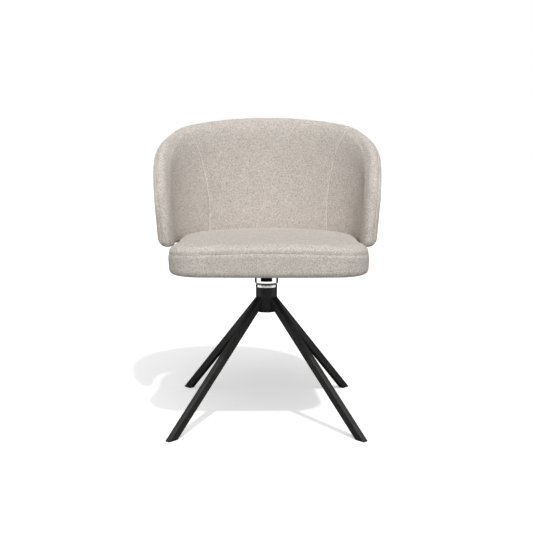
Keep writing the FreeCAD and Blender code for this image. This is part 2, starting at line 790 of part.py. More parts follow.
def seam_prism():
    """Upright block whose two sides follow the seams of the inner panel."""
    low = val("rear_low") - 40
    high = val("back_top") + 40
    bottom = val("seam_low_x")
    foot = [V(bottom, 0, low), V(bottom, 0, val("seat_line")), V(val("seam_mid_x"), 0, val("seam_mid_z"))]
    turned_out = V(val("seam_turn_x"), 0, val("seam_turn_z"))
    close = V(val("seam_high_x"), 0, val("seam_high_z"))
    past = close + (close - turned_out) * 1.5
    right = [line(foot[0], foot[1]), line(foot[1], foot[2]), Part.Arc(foot[2], turned_out, close).toShape(),
             line(close, past)]
    mirror = [edge.mirror(V(0, 0, 0), V(1, 0, 0)) for edge in right]
    far = V(-past.x, 0, past.z)
    sill = line(V(-bottom, 0, low), V(bottom, 0, low))
    ends = [line(past, V(past.x, 0, high)), line(V(past.x, 0, high), V(far.x, 0, high)),
            line(V(far.x, 0, high), far)]
    wire = Part.Wire(Part.__sortEdges__(right + mirror + [sill] + ends))
    return Part.Face(wire).extrude(V(0, 2 * val("back_rear"), 0))


def bracket_frame(turn, lift):
    """Placement of a bracket: local X points out of the wall, Z up."""
    x, y = wall_plan(turn)
    return FreeCAD.Placement(V(x, y, lift), FreeCAD.Rotation(UP, 90 - turn))


def bracket_slot():
    """Room for both brackets where they enter the wall."""
    room = val("soft_gap")
    wide = val("bracket_width") + 2 * room
    thick = val("bracket_thick") + 2 * room
    start = val("shell_half") - room - 4
    low = val("rear_low") - 30
    tall = val("shell_low") + 60
    slots = []
    for turn in (val("bracket_turn"), -val("bracket_turn")):
        box = Part.makeBox(thick + 5, wide, tall, V(start, -wide / 2, low))
        box.Placement = bracket_frame(turn, 0).multiply(box.Placement)
        slots.append(box)
    return slots[0].fuse(slots[1])


def nose_pair(draw, turns):
    """Loft round the arm's front, on the left and on the right."""
    return loft([draw(turn) for turn in turns]), loft([draw(-turn) for turn in turns])


def on_side(shape, side):
    """The solids of a shape that lie on one side of the middle."""
    chosen = [solid for solid in shape.Solids if solid.CenterOfMass.x * side > 0]
    return chosen[0] if len(chosen) == 1 else Part.makeCompound(chosen)


def make_back():
    turns = both_sides(rear_turns())
    nose = nose_turns()
    slot = bracket_slot()
    prism = seam_prism()
    inner = loft([inner_cover_wire(turn) for turn in turns])
    coded("back_cover_centre", inner.common(prism).cut(slot))
    sides = inner.cut(prism)
    front_left, front_right = nose_pair(inner_cover_wire, nose)
    coded("back_cover_left", on_side(sides, 1).fuse(front_left).cut(slot))
    coded("back_cover_right", on_side(sides, -1).fuse(front_right).cut(slot))
    outer = loft([outer_cover_wire(turn) for turn in turns])
    front_left, front_right = nose_pair(outer_cover_wire, nose)
    coded("back_cover_outer", outer.fuse([front_left, front_right]).cut(slot))
    coded("back_shell", loft([shell_wire(turn) for turn in turns]).cut(screw_holes()))
    coded("back_foam_front", loft([front_foam_wire(turn) for turn in turns]))
    coded("back_foam_rear", loft([rear_foam_wire(turn) for turn in turns]))
    roll_left, roll_right = nose_pair(roll_wire, nose)
    coded("arm_roll_left", roll_left)
    coded("arm_roll_right", roll_right)


# Brackets and their fixings

def bracket_top_face():
    return val("seat_bottom") - val("dust_thick") - 2 * val("fit_gap") - val("soft_gap")


def bracket_lean(height):
    return (height - val("seat_line")) * tan(radians(val("back_lean")))


def make_bracket(name, turn):
    """Flat bar bent up behind the seat, flat under the board and leaning with the wall."""
    body = new_body(name)
    lean = "tan(back_lean * 1deg)"
    high = "(seat_bottom - dust_thick - 2 * fit_gap - soft_gap)"
    low = "(" + high + " - bracket_thick)"
    face = "(shell_half + fit_gap)"
    inner = "(0 - bracket_reach)"

    def out(at, height):
        return "(" + at + " + (" + height + " - seat_line) * " + lean + ")"

    back = "(" + face + " + bracket_thick)"
    outline = polygon(body, name + "_side", "XZ_Plane", [
        (inner, low), (out(back, low), low), (out(back, "bracket_top"), "bracket_top"),
        (out(face, "bracket_top"), "bracket_top"), (out(face, high), high), (inner, high)])
    bar = body.newObject("PartDesign::Pad", name + "_bar")
    bar.Profile = outline
    bar.Midplane = True
    bar.Length = val("bracket_width")
    bar.setExpression("Length", linked("bracket_width"))
    doc.recompute()
    inside = V(val(out(face, high)), 0, val(high))
    outside = V(val(out(back, low)), 0, val(low))
    rounded(body, name + "_inside_bend", "Fillet", "bracket_bend",
            lambda e: (e.CenterOfMass - inside).Length < 0.1)
    rounded(body, name + "_outside_bend", "Fillet", "bracket_bend + bracket_thick",
            lambda e: (e.CenterOfMass - outside).Length < 0.1)
    radius = "(bracket_bolt / 2 + hole_gap)"
    near = "(0 - bracket_reach + bracket_low_bolt)"
    holes = circles(body, name + "_seat_holes", "XY_Plane", [
        (near, "0", radius), ("(" + near + " + bracket_bolt_step)", "0", radius)])
    through_cut(body, holes, name + "_seat_hole_cut")
    body.Placement = bracket_frame(turn, 0)
    return body


def bracket_bolt_spots():
    spots = []
    for turn in (val("bracket_turn"), -val("bracket_turn")):
        frame = bracket_frame(turn, 0)
        for extra in (0, val("bracket_bolt_step")):
            spot = frame.multVec(V(-val("bracket_reach") + val("bracket_low_bolt") + extra, 0, 0))
            spots.append((spot.x, spot.y))
    return spots


def screw_places():
    """Placement of each countersunk screw, with local Z pointing out of the wall."""
    places = []
    tilt = val("back_lean")
    for turn in (val("bracket_turn"), -val("bracket_turn")):
        for down in (0, val("bracket_screw_step")):
            height = val("bracket_top") - val("bracket_high_bolt") - down
            tipped = FreeCAD.Rotation(V(0, 1, 0), 90 + tilt)
            local = FreeCAD.Placement(V(bracket_lean(height), 0, height), tipped)
            places.append(bracket_frame(turn, 0).multiply(local))
    return places


def screw_body(thread, head, grow):
    """Countersunk screw along Z: its flat head flush with the bracket's rear face."""
    face = val("shell_half") + val("fit_gap") + val("bracket_thick")
    tip = -val("shell_half") + 1
    shank = Part.makeCylinder(thread / 2 + grow, face - tip, V(0, 0, tip))
    depth = (head - thread) / 2
    cone = Part.makeCone(thread / 2 + grow, head / 2 + grow, depth, V(0, 0, face - depth))
    return shank.fuse(cone).removeSplitter()


def screw_set(grow):
    shapes = []
    for place in screw_places():
        screw = screw_body(val("bracket_bolt"), 2 * val("bracket_bolt") - 2, grow)
        screw.Placement = place
        shapes.append(screw)
    return shapes


def screw_holes():
    return Part.makeCompound(screw_set(val("thread_gap")))


# Seat: outline in plan, then board, foam and covers

def seat_edge():
    """How far the seat's side stays inside the middle of the back, clear of its leaning lower edge."""
    drawn = (val("seat_line") - val("rear_low")) * tan(radians(val("back_lean")))
    return val("back_half") + val("seat_gap") + drawn


def seat_steps():
    """Arcs of the seat's outline: radius, first and last turn. The line has its length instead."""
    inset = seat_edge()
    corner = val("rear_turn")
    arm = 97
    spread = 90 - val("seat_spread")
    last = 180 - val("seat_bow")
    steps = [(val("rear_radius") - inset, 0, corner), (val("side_radius") - inset, corner, 90),
             (val("arm_radius") - inset, 90, arm)]
    x = 0.0
    y = val("back_rear") - inset
    for radius, first, stop in steps:
        x += radius * (sin(radians(stop)) - sin(radians(first)))
        y += radius * (cos(radians(stop)) - cos(radians(first)))
    flare = -val("seat_flare")
    x += flare * (sin(radians(spread)) - sin(radians(arm)))
    y += flare * (cos(radians(spread)) - cos(radians(arm)))
    round_front = val("seat_corner")
    corner_x = round_front * (sin(radians(last)) - sin(radians(spread)))
    corner_y = round_front * (cos(radians(last)) - cos(radians(spread)))
    bow = radians(val("seat_bow"))
    # the straight side and the front's radius close the outline on the front's middle
    # unknowns: side length and front radius, with the front's sagitta
    lean_x = cos(radians(spread))
    lean_y = -sin(radians(spread))
    length = 0.0
    front = 4000.0
    for attempt in range(40):
        end_x = x + lean_x * length + corner_x
        front = end_x / sin(bow)
        drop = front * (1 - cos(bow))
        length = (-val("seat_front") + drop - y - corner_y) / lean_y
    return steps, (flare, arm, spread), length, (round_front, spread, last), front, last


def seat_nodes():
    """Half outline: list of point, outward direction and the turn, with arc middles."""
    steps, flare, length, corner, front, last = seat_steps()
    x = 0.0
    y = val("back_rear") - seat_edge()
    nodes = [(x, y, 0.0, "start")]

    def arc(radius, first, stop):
        nonlocal x, y
        middle = (first + stop) / 2
        mid_x = x + radius * (sin(radians(middle)) - sin(radians(first)))
        mid_y = y + radius * (cos(radians(middle)) - cos(radians(first)))
        nodes.append((mid_x, mid_y, middle, "middle"))
        x += radius * (sin(radians(stop)) - sin(radians(first)))
        y += radius * (cos(radians(stop)) - cos(radians(first)))
        nodes.append((x, y, stop, "arc"))

    for radius, first, stop in steps:
        arc(radius, first, stop)
    arc(flare[0], flare[1], flare[2])
    x += cos(radians(flare[2])) * length
    y -= sin(radians(flare[2])) * length
    nodes.append((x, y, flare[2], "line"))
    arc(corner[0], corner[1], corner[2])
    arc(front, last, 180)
    return nodes


half_outline = seat_nodes()


def seat_wire(inset, height, scale=1.0):
    """Closed outline of the seat, drawn in by an inset, or scaled about its middle."""
    middle = V(0, -0.13 * val("seat_front"), 0)
    right = []
    for x, y, turn, kind in half_outline:
        spot = V(x - inset * sin(radians(turn)), y - inset * cos(radians(turn)), 0)
        spot = middle + (spot - middle) * scale
        right.append((V(spot.x, spot.y, height), kind))
    edges = []
    for side in (1, -1):
        spots = [(V(side * spot.x, spot.y, spot.z), kind) for spot, kind in right]
        run = []
        at = spots[0][0]
        mid = None
        for spot, kind in spots[1:]:
            if kind == "middle":
                mid = spot
                continue
            run.append(Part.Arc(at, mid, spot).toShape() if kind == "arc" else line(at, spot))
            at = spot
        edges.append(run)
    return Part.Wire(edges[0] + [edge for edge in reversed(edges[1])])


def band_levels(inset):
    """Side of the cushion from below: inset and height, drawn in at the seam."""
    roll = val("seat_roll")
    low = val("seat_bottom")
    seam = val("seat_line")
    drawn = val("seam_inset")
    levels = []
    for angle in (0, 30, 60, 90):
        turn = radians(angle)
        radius = roll - inset
        levels.append((roll - radius * sin(turn), low + roll - radius * cos(turn)))
    rise = seam - low - roll
    levels.append((drawn * 0.25 + inset, low + roll + rise * 0.6))
    levels.append((drawn * 0.62 + inset, low + roll + rise * 0.85))
    levels.append((drawn + inset, seam))
    return levels


def crown_levels(inset):
    """Top of the cushion above its seam: scale about the middle, and height."""
    seam = val("seat_line")
    rise = val("seat_crown")
    levels = []
    for scale, share in ((0.965, 0.36), (0.90, 0.58), (0.78, 0.77), (0.6, 0.91), (0.36, 0.985), (0.1, 1.0)):
        levels.append((scale, seam + rise * share - inset))
    return levels


def crown_solid(inset):
    drawn = val("seam_inset") + inset
    wires = [seat_wire(drawn, val("seat_line"))]
    wires += [seat_wire(drawn, height, scale) for scale, height in crown_levels(inset)]
    return loft(wires)


def band_solid(inset, open_ends):
    levels = band_levels(inset)
    wires = [seat_wire(edge, height) for edge, height in levels]
    return loft(wires)


def prism_of(inset, low, high):
    return Part.Face(seat_wire(inset, low)).extrude(V(0, 0, high - low))


def board_level():
    return val("seat_bottom") + val("cover_thick") + val("soft_gap") / 2


def make_seat():
    thick = val("cover_thick")
    gap = val("soft_gap")
    low = board_level()
    top = low + val("board_thick")
    inset = val("board_inset")
    all_spots = bolt_spots()
    small_spots = bracket_bolt_spots()
    barrel = val("bolt_size") / 2 + val("thread_gap") + val("insert_wall") + val("fit_gap")
    small = val("bracket_bolt") / 2 + val("thread_gap") + val("insert_wall") + val("fit_gap")
    board = prism_of(inset, low, top)
    for across, up in all_spots:
        board = board.cut(Part.makeCylinder(barrel, top - low, V(across, up, low)))
    for across, up in small_spots:
        board = board.cut(Part.makeCylinder(small, top - low, V(across, up, low)))
    coded("seat_board", board)
    make_inserts("seat_inserts", all_spots, val("bolt_size"), low, top)
    make_inserts("bracket_inserts", small_spots, val("bracket_bolt"), low, top)

    # foam over the board, with room for the inserts' flanges
    foam = band_solid(thick + gap, False).fuse(crown_solid(thick + gap)).removeSplitter()
    foam = foam.cut(prism_of(inset - gap, low - 30, top + gap))
    for across, up in all_spots:
        wide = val("insert_flange") / 2 + gap
        foam = foam.cut(Part.makeCylinder(wide, val("insert_flange_thick") + 2 * gap, V(across, up, top)))
    for across, up in small_spots:
        wide = val("insert_flange") * val("bracket_bolt") / val("bolt_size") / 2 + gap
        foam = foam.cut(Part.makeCylinder(wide, val("insert_flange_thick") + 2 * gap, V(across, up, top)))
    coded("seat_foam", foam)

    # covers: a band with its turned-in lip, and a crowned top
    band = band_solid(0, True).cut(band_solid(thick, True))
    band = band.cut(prism_of(val("seat_roll + lip_width"), low - 30, top))
    for across, up in small_spots:
        band = band.cut(Part.makeCylinder(val("bracket_bolt") / 2 + gap, top - low, V(across, up, low - 5)))
    coded("seat_cover_band", band)
    crown = crown_solid(0).cut(crown_solid(thick))
    coded("seat_cover_top", crown)

    # dust cover under the lip
    sheet_top = val("seat_bottom") - val("fit_gap")
    dust = prism_of(val("dust_inset"), sheet_top - val("dust_thick"), sheet_top)
    for across, up in all_spots:
        dust = dust.cut(Part.makeCylinder(val("bolt_size") / 2 + gap, 10, V(across, up, sheet_top - 5)))
    for across, up in small_spots:
        dust = dust.cut(Part.makeCylinder(val("bracket_bolt") / 2 + gap, 10, V(across, up, sheet_top - 5)))
    coded("dust_cover", dust)


def make_fixings():
    plate_low = val(PLATE_LOW)
    washer = val("washer_thick")
    board_top = board_level() + val("board_thick")
    spots = bolt_spots()
    bore = val("bolt_size") + 2 * val("thread_gap")
    make_washers("seat_washers", spots, val("washer_od"), bore, plate_low - washer, washer)
    make_hex_bolts("seat_bolts", spots, val("bolt_size"), val("bolt_head"), val("bolt_head_thick"),
                   plate_low - washer, board_top)
    under = bracket_top_face() - val("bracket_thick")
    make_hex_bolts("bracket_bolts", bracket_bolt_spots(), val("bracket_bolt"), val("bracket_bolt_head"),
                   val("bracket_head_thick"), under, board_top)
    coded("back_screws", Part.makeCompound(screw_set(0)))


make_hub()
make_cap()
make_bush("bush_lower", LOWER_BUSH)
make_bush("bush_upper", UPPER_BUSH)
make_lower_race()
make_upper_race()
make_cage()
make_balls()
for number, place in enumerate(("rear_left", "rear_right", "front_right", "front_left")):
    direction = val("leg_first") + 90 * number
    make_leg("leg_" + place, direction)
    make_glide("glide_" + place, direction)
make_spindle()
make_ring()
make_thrust_washer()
make_collar()
make_plate()
make_back()
make_seat()
make_bracket("back_bracket_left", val("bracket_turn"))
make_bracket("back_bracket_right", -val("bracket_turn"))
make_fixings()
doc.recompute()

# Countersinks for the back screws, cut in the brackets
for name in ("back_bracket_left", "back_bracket_right"):
    bare = doc.getObject(name)
    bare.Label = name + "_bar"
    piece = bare.Shape.cut(Part.makeCompound(screw_set(val("thread_gap"))))
    coded(name + "_drilled", piece).Label = name

NODES = ["base_hub", "hub_bottom_cap", "bush_lower", "bush_upper", "lower_race", "upper_race", "ball_cage",
         "bearing_balls", "leg_rear_left", "leg_rear_right", "leg_front_right", "leg_front_left",
         "glide_rear_left", "glide_rear_right", "glide_front_right", "glide_front_left", "spindle",
         "retaining_ring", "thrust_washer", "swivel_collar", "seat_plate", "seat_bolts", "seat_washers",
         "seat_inserts", "bracket_inserts", "bracket_bolts", "back_screws", "back_bracket_left",
         "back_bracket_right", "seat_board", "seat_foam", "seat_cover_band", "seat_cover_top", "dust_cover",
         "back_shell", "back_foam_front", "back_foam_rear", "arm_roll_left", "arm_roll_right",
         "back_cover_centre", "back_cover_left", "back_cover_right", "back_cover_outer"]

for item in doc.Objects:
    if "Invalid" in item.State or "Error" in item.State:
        raise ValueError(item.Name + " failed to recompute")

pieces = {}
for name in NODES:
    found = [item for item in doc.Objects if item.Label == name]
    shape = found[0].Shape
    if shape.isNull() or not shape.isValid() or not shape.Solids:
        raise ValueError(name + " has no valid solid")
    pieces[name] = shape

os.makedirs("parts", exist_ok=True)
for name, shape in pieces.items():
    shape.exportStep("parts/" + name + ".step")
    print(name, len(shape.Solids), round(shape.Volume / 1000, 2))
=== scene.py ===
"""Dressing of the swivel dining chair: woven upholstery over the tub seat, black powder
coat on the base and polished chrome at the swivel. Metres, +Z up, front towards -Y."""

import json
import math

import bmesh
import bpy
import numpy as np
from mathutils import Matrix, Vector
from mathutils.bvhtree import BVHTree


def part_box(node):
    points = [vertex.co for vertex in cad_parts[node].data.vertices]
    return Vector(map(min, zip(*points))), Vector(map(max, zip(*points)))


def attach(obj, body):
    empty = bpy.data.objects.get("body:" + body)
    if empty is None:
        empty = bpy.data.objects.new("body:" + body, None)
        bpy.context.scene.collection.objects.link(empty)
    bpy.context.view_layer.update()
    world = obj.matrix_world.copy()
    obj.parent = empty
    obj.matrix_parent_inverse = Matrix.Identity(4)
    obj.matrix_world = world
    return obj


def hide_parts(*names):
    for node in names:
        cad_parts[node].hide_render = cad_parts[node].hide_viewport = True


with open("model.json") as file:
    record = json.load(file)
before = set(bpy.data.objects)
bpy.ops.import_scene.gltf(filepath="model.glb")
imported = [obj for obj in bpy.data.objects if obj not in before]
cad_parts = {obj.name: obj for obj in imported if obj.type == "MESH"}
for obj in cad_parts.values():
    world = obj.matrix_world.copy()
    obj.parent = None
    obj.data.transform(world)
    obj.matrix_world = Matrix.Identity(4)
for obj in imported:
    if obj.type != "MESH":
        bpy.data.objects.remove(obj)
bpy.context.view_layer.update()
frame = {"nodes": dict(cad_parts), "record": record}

# Sizes of the upholstery: the solid model's, apart from small shifts that fit the photograph
REAR_RADIUS = 0.299
SIDE_RADIUS = 0.173
ARM_RADIUS = 0.583
REAR_TURN = 45.0
ARM_TURN = 98.2
BACK_REAR = 0.2235
SEAT_LINE = 0.460
BACK_LEAN = math.tan(math.radians(4.3))
BACK_HALF = 0.024
BACK_TOP = 0.796
RIM_FALL = 0.111
SWEEP_TURN = 72.0
ARM_TOP = 0.575
ARM_STEEP = 1.3
ARM_NOSE = 0.110
ARM_SWELL = 0.045
RIM_SWELL = 0.062
REAR_LOW = 0.425
ARM_LOW = 0.4495
TOE_ROUND = 0.004
RIM_SEAM = 36.0
SEAT_FRONT = 0.271
SEAT_BOTTOM = 0.4076
SEAT_HEM = 0.4025
SEAT_SHIFT = 0.0055
BACK_SHIFT = 0.0024
SEAT_CORNER = 0.084
SEAT_FLARE = 0.150
SEAT_SPREAD = 84.0
SEAT_BOW = 2.0
SEAT_ROLL = 0.013
SEAT_CROWN = 0.023
SEAT_EDGE = 0.0274
YARN = 0.0013
COLLAR_WALL = 0.002
COLLAR_EDGE = 0.0042
DUST_LEVEL = 0.4074
DUST_INSET = 0.030
FLEECE_THICK = 0.0008

# Making of the padding
PAD_VOXEL = 0.005
PAD_PRESSURE = 4.0
PAD_REACH = 0.005
CLOTH_FRAMES = 20
BACK_INSET = 0.0028
CUSHION_SWELL = 0.0014
SEAM_OUT = 0.0016
HEM_RINGS = ((0.052, SEAT_BOTTOM), (0.036, SEAT_BOTTOM - 0.0008))
HEM_ANGLES = (0, 12, 25, 40, 55, 70, 85)
# Bulge of the cushion's side, its height and its share of the seam's lift
CUSHION_SIDE = ((-0.0024, 0.441, 0.4), (-0.0028, 0.452, 0.8), (-SEAM_OUT, SEAT_LINE, 1.0))
CROWN_EDGE = 9
CROWN_ROUND = 2.6
CROWN_STEPS = (0.994, 0.985, 0.972, 0.955, 0.93, 0.89, 0.83, 0.75, 0.64, 0.5, 0.34, 0.18, 0.05)

# Seams
NOSE_TURN = 97.6
TOE_TURN = 97.0
THREAD_THICK = 0.0009
FOLD_THICK = 0.0008

# Light of the studio
KEY_TOWARDS = (0.33, -0.97, 1.5)
KEY_STRENGTH = 1.52
KEY_SPREAD = 2.5
FILL_TOWARDS = (-0.05, -0.80, 0.80)
FILL_STRENGTH = 1.76
FILL_SPREAD = 70.0
ROOM_LIGHT = 0.24
FLOOR_TO_CHAIR = 0.42
FLOOR_TO_CAMERA = 0.95
FLOOR_GLOW = 0.36
FLOOR_REACH = 60.0
CARD_RADIUS = 2.3
CARD_HEIGHT = 2.6
CARD_STEPS = 24
FRONT_CARD = 58.0
SIDE_CARD = (111.0, 176.0)
DISC_RADIUS = 1.0
DISC_STEPS = 64
OFF_FLOOR = 0.0005

# Camera, fitted to the photograph
CAMERA_PLACE = (0.0, -2.148, 0.693)
CAMERA_DROP = 7.91
FOCAL_PIXELS = 822.0
PICTURE_PIXELS = 533.0
SENSOR_WIDTH = 36.0


# Plan curves

def walk(steps, turn):
    """Point reached after turning through arcs that meet in line."""
    x = 0.0
    y = 0.0
    for radius, first, last in steps:
        stop = min(turn, last) if last > first else turn
        if turn <= first and last > first:
            break
        x += radius * (math.sin(math.radians(stop)) - math.sin(math.radians(first)))
        y += radius * (math.cos(math.radians(stop)) - math.cos(math.radians(first)))
    return x, y


def wall_plan(turn):
    """Middle of the back's wall seen from above, at a turn either side of the rear."""
    steps = [(REAR_RADIUS, 0.0, REAR_TURN), (SIDE_RADIUS, REAR_TURN, 90.0), (ARM_RADIUS, 90.0, 180.0)]
    x, y = walk(steps, abs(turn))
    return math.copysign(x, turn), y + BACK_REAR


def wall_spot(turn, across, height):
    """Point of the back: turn along its plan, distance out from its middle, height."""
    x, y = wall_plan(turn)
    out = across + (height - SEAT_LINE) * BACK_LEAN
    angle = math.radians(turn)
    return (x + out * math.sin(angle), y + out * math.cos(angle), height)


def inner_half(turn):
    """Thickness inside the middle of the wall: the padding swells from the arm's front."""
    ahead = math.radians(ARM_TURN - abs(turn)) * ARM_RADIUS
    if ahead >= ARM_SWELL:
        return BACK_HALF
    return BACK_HALF * math.sqrt(max(1 - (1 - ahead / ARM_SWELL) ** 2, 1e-6))


def rim_height(turn):
    """Upper edge of the back: it falls away round the sides, then down the arm in one sweep."""
    if turn <= SWEEP_TURN:
        return BACK_TOP - RIM_FALL * (turn / 90.0) ** 2
    start = BACK_TOP - RIM_FALL * (SWEEP_TURN / 90.0) ** 2
    steep = 2 * RIM_FALL * SWEEP_TURN / 90.0 ** 2 / math.radians(SIDE_RADIUS)
    side = math.radians(90.0 - SWEEP_TURN) * SIDE_RADIUS
    whole = side + math.radians(ARM_TURN - 90.0) * ARM_RADIUS
    gone = math.radians(min(turn, 90.0) - SWEEP_TURN) * SIDE_RADIUS
    gone += math.radians(max(turn - 90.0, 0.0)) * ARM_RADIUS
    part = gone / whole
    settled_share = 3 * part ** 2 - 2 * part ** 3
    early = part ** 3 - 2 * part ** 2 + part
    late = part ** 3 - part ** 2
    height = (1 - settled_share) * start + settled_share * ARM_TOP
    return height - whole * (early * steep + late * ARM_STEEP)


def wall_sizes(turn):
    """Half thickness, upper edge and lower edge of the back at a turn."""
    top = rim_height(abs(turn))
    low = REAR_LOW + (ARM_LOW - REAR_LOW) * math.sin(math.radians(min(abs(turn), 90.0))) ** 2
    ahead = math.radians(ARM_TURN - abs(turn)) * ARM_RADIUS
    half = BACK_HALF
    if ahead < BACK_HALF:
        half = math.sqrt(max(BACK_HALF ** 2 - (BACK_HALF - ahead) ** 2, 1e-9))
        top -= ARM_NOSE * (1.0 - half / BACK_HALF)
    return half, top, low


def wall_ring(turn, inset, count=72):
    """One upright section of the back as evenly spaced points."""
    half, top, low = wall_sizes(turn)
    high = top - half
    foot = low + half
    inner = max(inner_half(turn) - inset, 0.0005)
    swell = RIM_SWELL * half / BACK_HALF
    half -= inset
    toe = max(min(TOE_ROUND, (inner + inset) * 0.8) - inset, 0.0003)
    base = low + inset
    spots = []
    for angle in np.linspace(-90, 0, 17):
        a = math.radians(angle)
        spots.append((inner * math.sin(a), top - inset - swell * (1 - math.cos(a))))
    for angle in np.linspace(0, 90, 13)[1:]:
        a = math.radians(angle)
        spots.append((half * math.sin(a), high + half * math.cos(a)))
    for angle in np.linspace(90, 0, 13):
        a = math.radians(angle)
        spots.append((half * math.sin(a), foot - half * math.cos(a)))
    for angle in np.linspace(0, 90, 9):
        a = math.radians(angle)
        spots.append((-inner + toe * (1 - math.sin(a)), base + toe * (1 - math.cos(a))))
    flat = np.array(spots)
    loop = np.vstack([flat, flat[:1]])
    steps = np.hypot(*(loop[1:] - loop[:-1]).T)
    run = np.concatenate([[0], np.cumsum(steps)])
    at = np.linspace(0, run[-1], count, endpoint=False)
    across = np.interp(at, run, loop[:, 0])
    height = np.interp(at, run, loop[:, 1])
    return [wall_spot(turn, a, h) for a, h in zip(across, height)]


def seat_outline():
    """Half outline of the seat from the middle of its rear to the middle of its front:
    points with their outward turn."""
    arcs = [(REAR_RADIUS - SEAT_EDGE, 0.0, REAR_TURN), (SIDE_RADIUS - SEAT_EDGE, REAR_TURN, 90.0),
            (ARM_RADIUS - SEAT_EDGE, 90.0, 97.0), (-SEAT_FLARE, 97.0, SEAT_SPREAD)]
    x = 0.0
    y = BACK_REAR - SEAT_EDGE
    spots = []

    def arc(radius, first, last, parts):
        nonlocal x, y
        for step in range(parts):
            turn = first + (last - first) * step / parts
            spots.append((x + radius * (math.sin(math.radians(turn)) - math.sin(math.radians(first))),
                          y + radius * (math.cos(math.radians(turn)) - math.cos(math.radians(first))), turn))
        x += radius * (math.sin(math.radians(last)) - math.sin(math.radians(first)))
        y += radius * (math.cos(math.radians(last)) - math.cos(math.radians(first)))

    for radius, first, last in arcs:
        arc(radius, first, last, 24)
    stop = 180.0 - SEAT_BOW
    corner_x = SEAT_CORNER * (math.sin(math.radians(stop)) - math.sin(math.radians(SEAT_SPREAD)))
    corner_y = SEAT_CORNER * (math.cos(math.radians(stop)) - math.cos(math.radians(SEAT_SPREAD)))
    lean_x = math.cos(math.radians(SEAT_SPREAD))
    lean_y = -math.sin(math.radians(SEAT_SPREAD))
    bow = math.radians(SEAT_BOW)
    length = 0.0
    front = 4.0
    for _ in range(40):
        front = (x + lean_x * length + corner_x) / math.sin(bow)
        length = (-SEAT_FRONT + front * (1 - math.cos(bow)) - y - corner_y) / lean_y
    for step in range(16):
        spots.append((x + lean_x * length * step / 16, y + lean_y * length * step / 16, SEAT_SPREAD))
    x += lean_x * length
    y += lean_y * length
    arc(SEAT_CORNER, SEAT_SPREAD, stop, 24)
    arc(front, stop, 180.0, 16)
    spots.append((0.0, -SEAT_FRONT, 180.0))
    return spots


def seat_loop():
    """Whole outline of the seat with outward directions."""
    half = seat_outline()
    left = [(x, y, math.sin(math.radians(t)), math.cos(math.radians(t))) for x, y, t in half]
    right = [(-x, y, -nx, ny) for x, y, nx, ny in reversed(left[1:-1])]
    return np.array(left + right)


LOOP = seat_loop()
SEAT_MIDDLE = np.array([0.0, -0.035])


def seam_lift(x):
    """The top seam rises to the middle and dips at the corners."""
    return 0.003 - 0.008 * (abs(x) / 0.235) ** 2


def seat_ring(inset, height, scale=1.0, lift=0.0):
    """The seat's outline at a height, moved in, scaled and lifted along the seam's line."""
    flat = LOOP[:, :2] - LOOP[:, 2:] * inset
    flat = SEAT_MIDDLE + (flat - SEAT_MIDDLE) * scale
    return [(x, y, height + lift * seam_lift(x)) for x, y in flat]


# Mesh helpers

def new_object(name, mesh):
    """New object in the scene."""
    piece = bpy.data.objects.new(name, mesh)
    bpy.context.scene.collection.objects.link(piece)
    return piece


def skin(name, rings, closed_ends=True):
    """Mesh over rings that all have the same number of points."""
    count = len(rings[0])
    points = [spot for ring in rings for spot in ring]
    faces = []
    for row in range(len(rings) - 1):
        for col in range(count):
            after = (col + 1) % count
            faces.append((row * count + col, row * count + after,
                          (row + 1) * count + after, (row + 1) * count + col))
    if closed_ends:
        faces.append(tuple(reversed(range(count))))
        last = (len(rings) - 1) * count
        faces.append(tuple(range(last, last + count)))
    mesh = bpy.data.meshes.new(name)
    mesh.from_pydata(points, [], faces)
    piece = new_object(name, mesh)
    tidy = bmesh.new()
    tidy.from_mesh(mesh)
    bmesh.ops.recalc_face_normals(tidy, faces=tidy.faces)
    tidy.to_mesh(mesh)
    tidy.free()
    return piece


def settled(piece):
    """Replaces a piece's mesh by what its modifiers make of it."""
    graph = bpy.context.evaluated_depsgraph_get()
    mesh = bpy.data.meshes.new_from_object(piece.evaluated_get(graph))
    piece.modifiers.clear()
    piece.data = mesh
    return piece


def spots_of(mesh):
    """Places of all vertices."""
    flat = np.empty(len(mesh.vertices) * 3)
    mesh.vertices.foreach_get("co", flat)
    return flat.reshape(-1, 3)


def move_spots(mesh, spots):
    """Gives all vertices new places."""
    mesh.vertices.foreach_set("co", np.ascontiguousarray(spots).ravel())
    mesh.update()


def moved_across(piece, shift):
    """Moves a piece's vertices to the right, as the photograph shows it."""
    spots = spots_of(piece.data)
    spots[:, 0] += shift
    move_spots(piece.data, spots)


def normals_of(mesh):
    """Normals of all vertices."""
    flat = np.empty(len(mesh.vertices) * 3)
    mesh.vertices.foreach_get("normal", flat)
    return flat.reshape(-1, 3)


def remeshed(piece):
    """Even mesh over a piece, eased a little."""
    cut = piece.modifiers.new("even_mesh", "REMESH")
    cut.mode = "VOXEL"
    cut.voxel_size = PAD_VOXEL
    settled(piece)
    ease = piece.modifiers.new("ease", "SMOOTH")
    ease.factor = 0.5
    ease.iterations = 2
    return settled(piece)


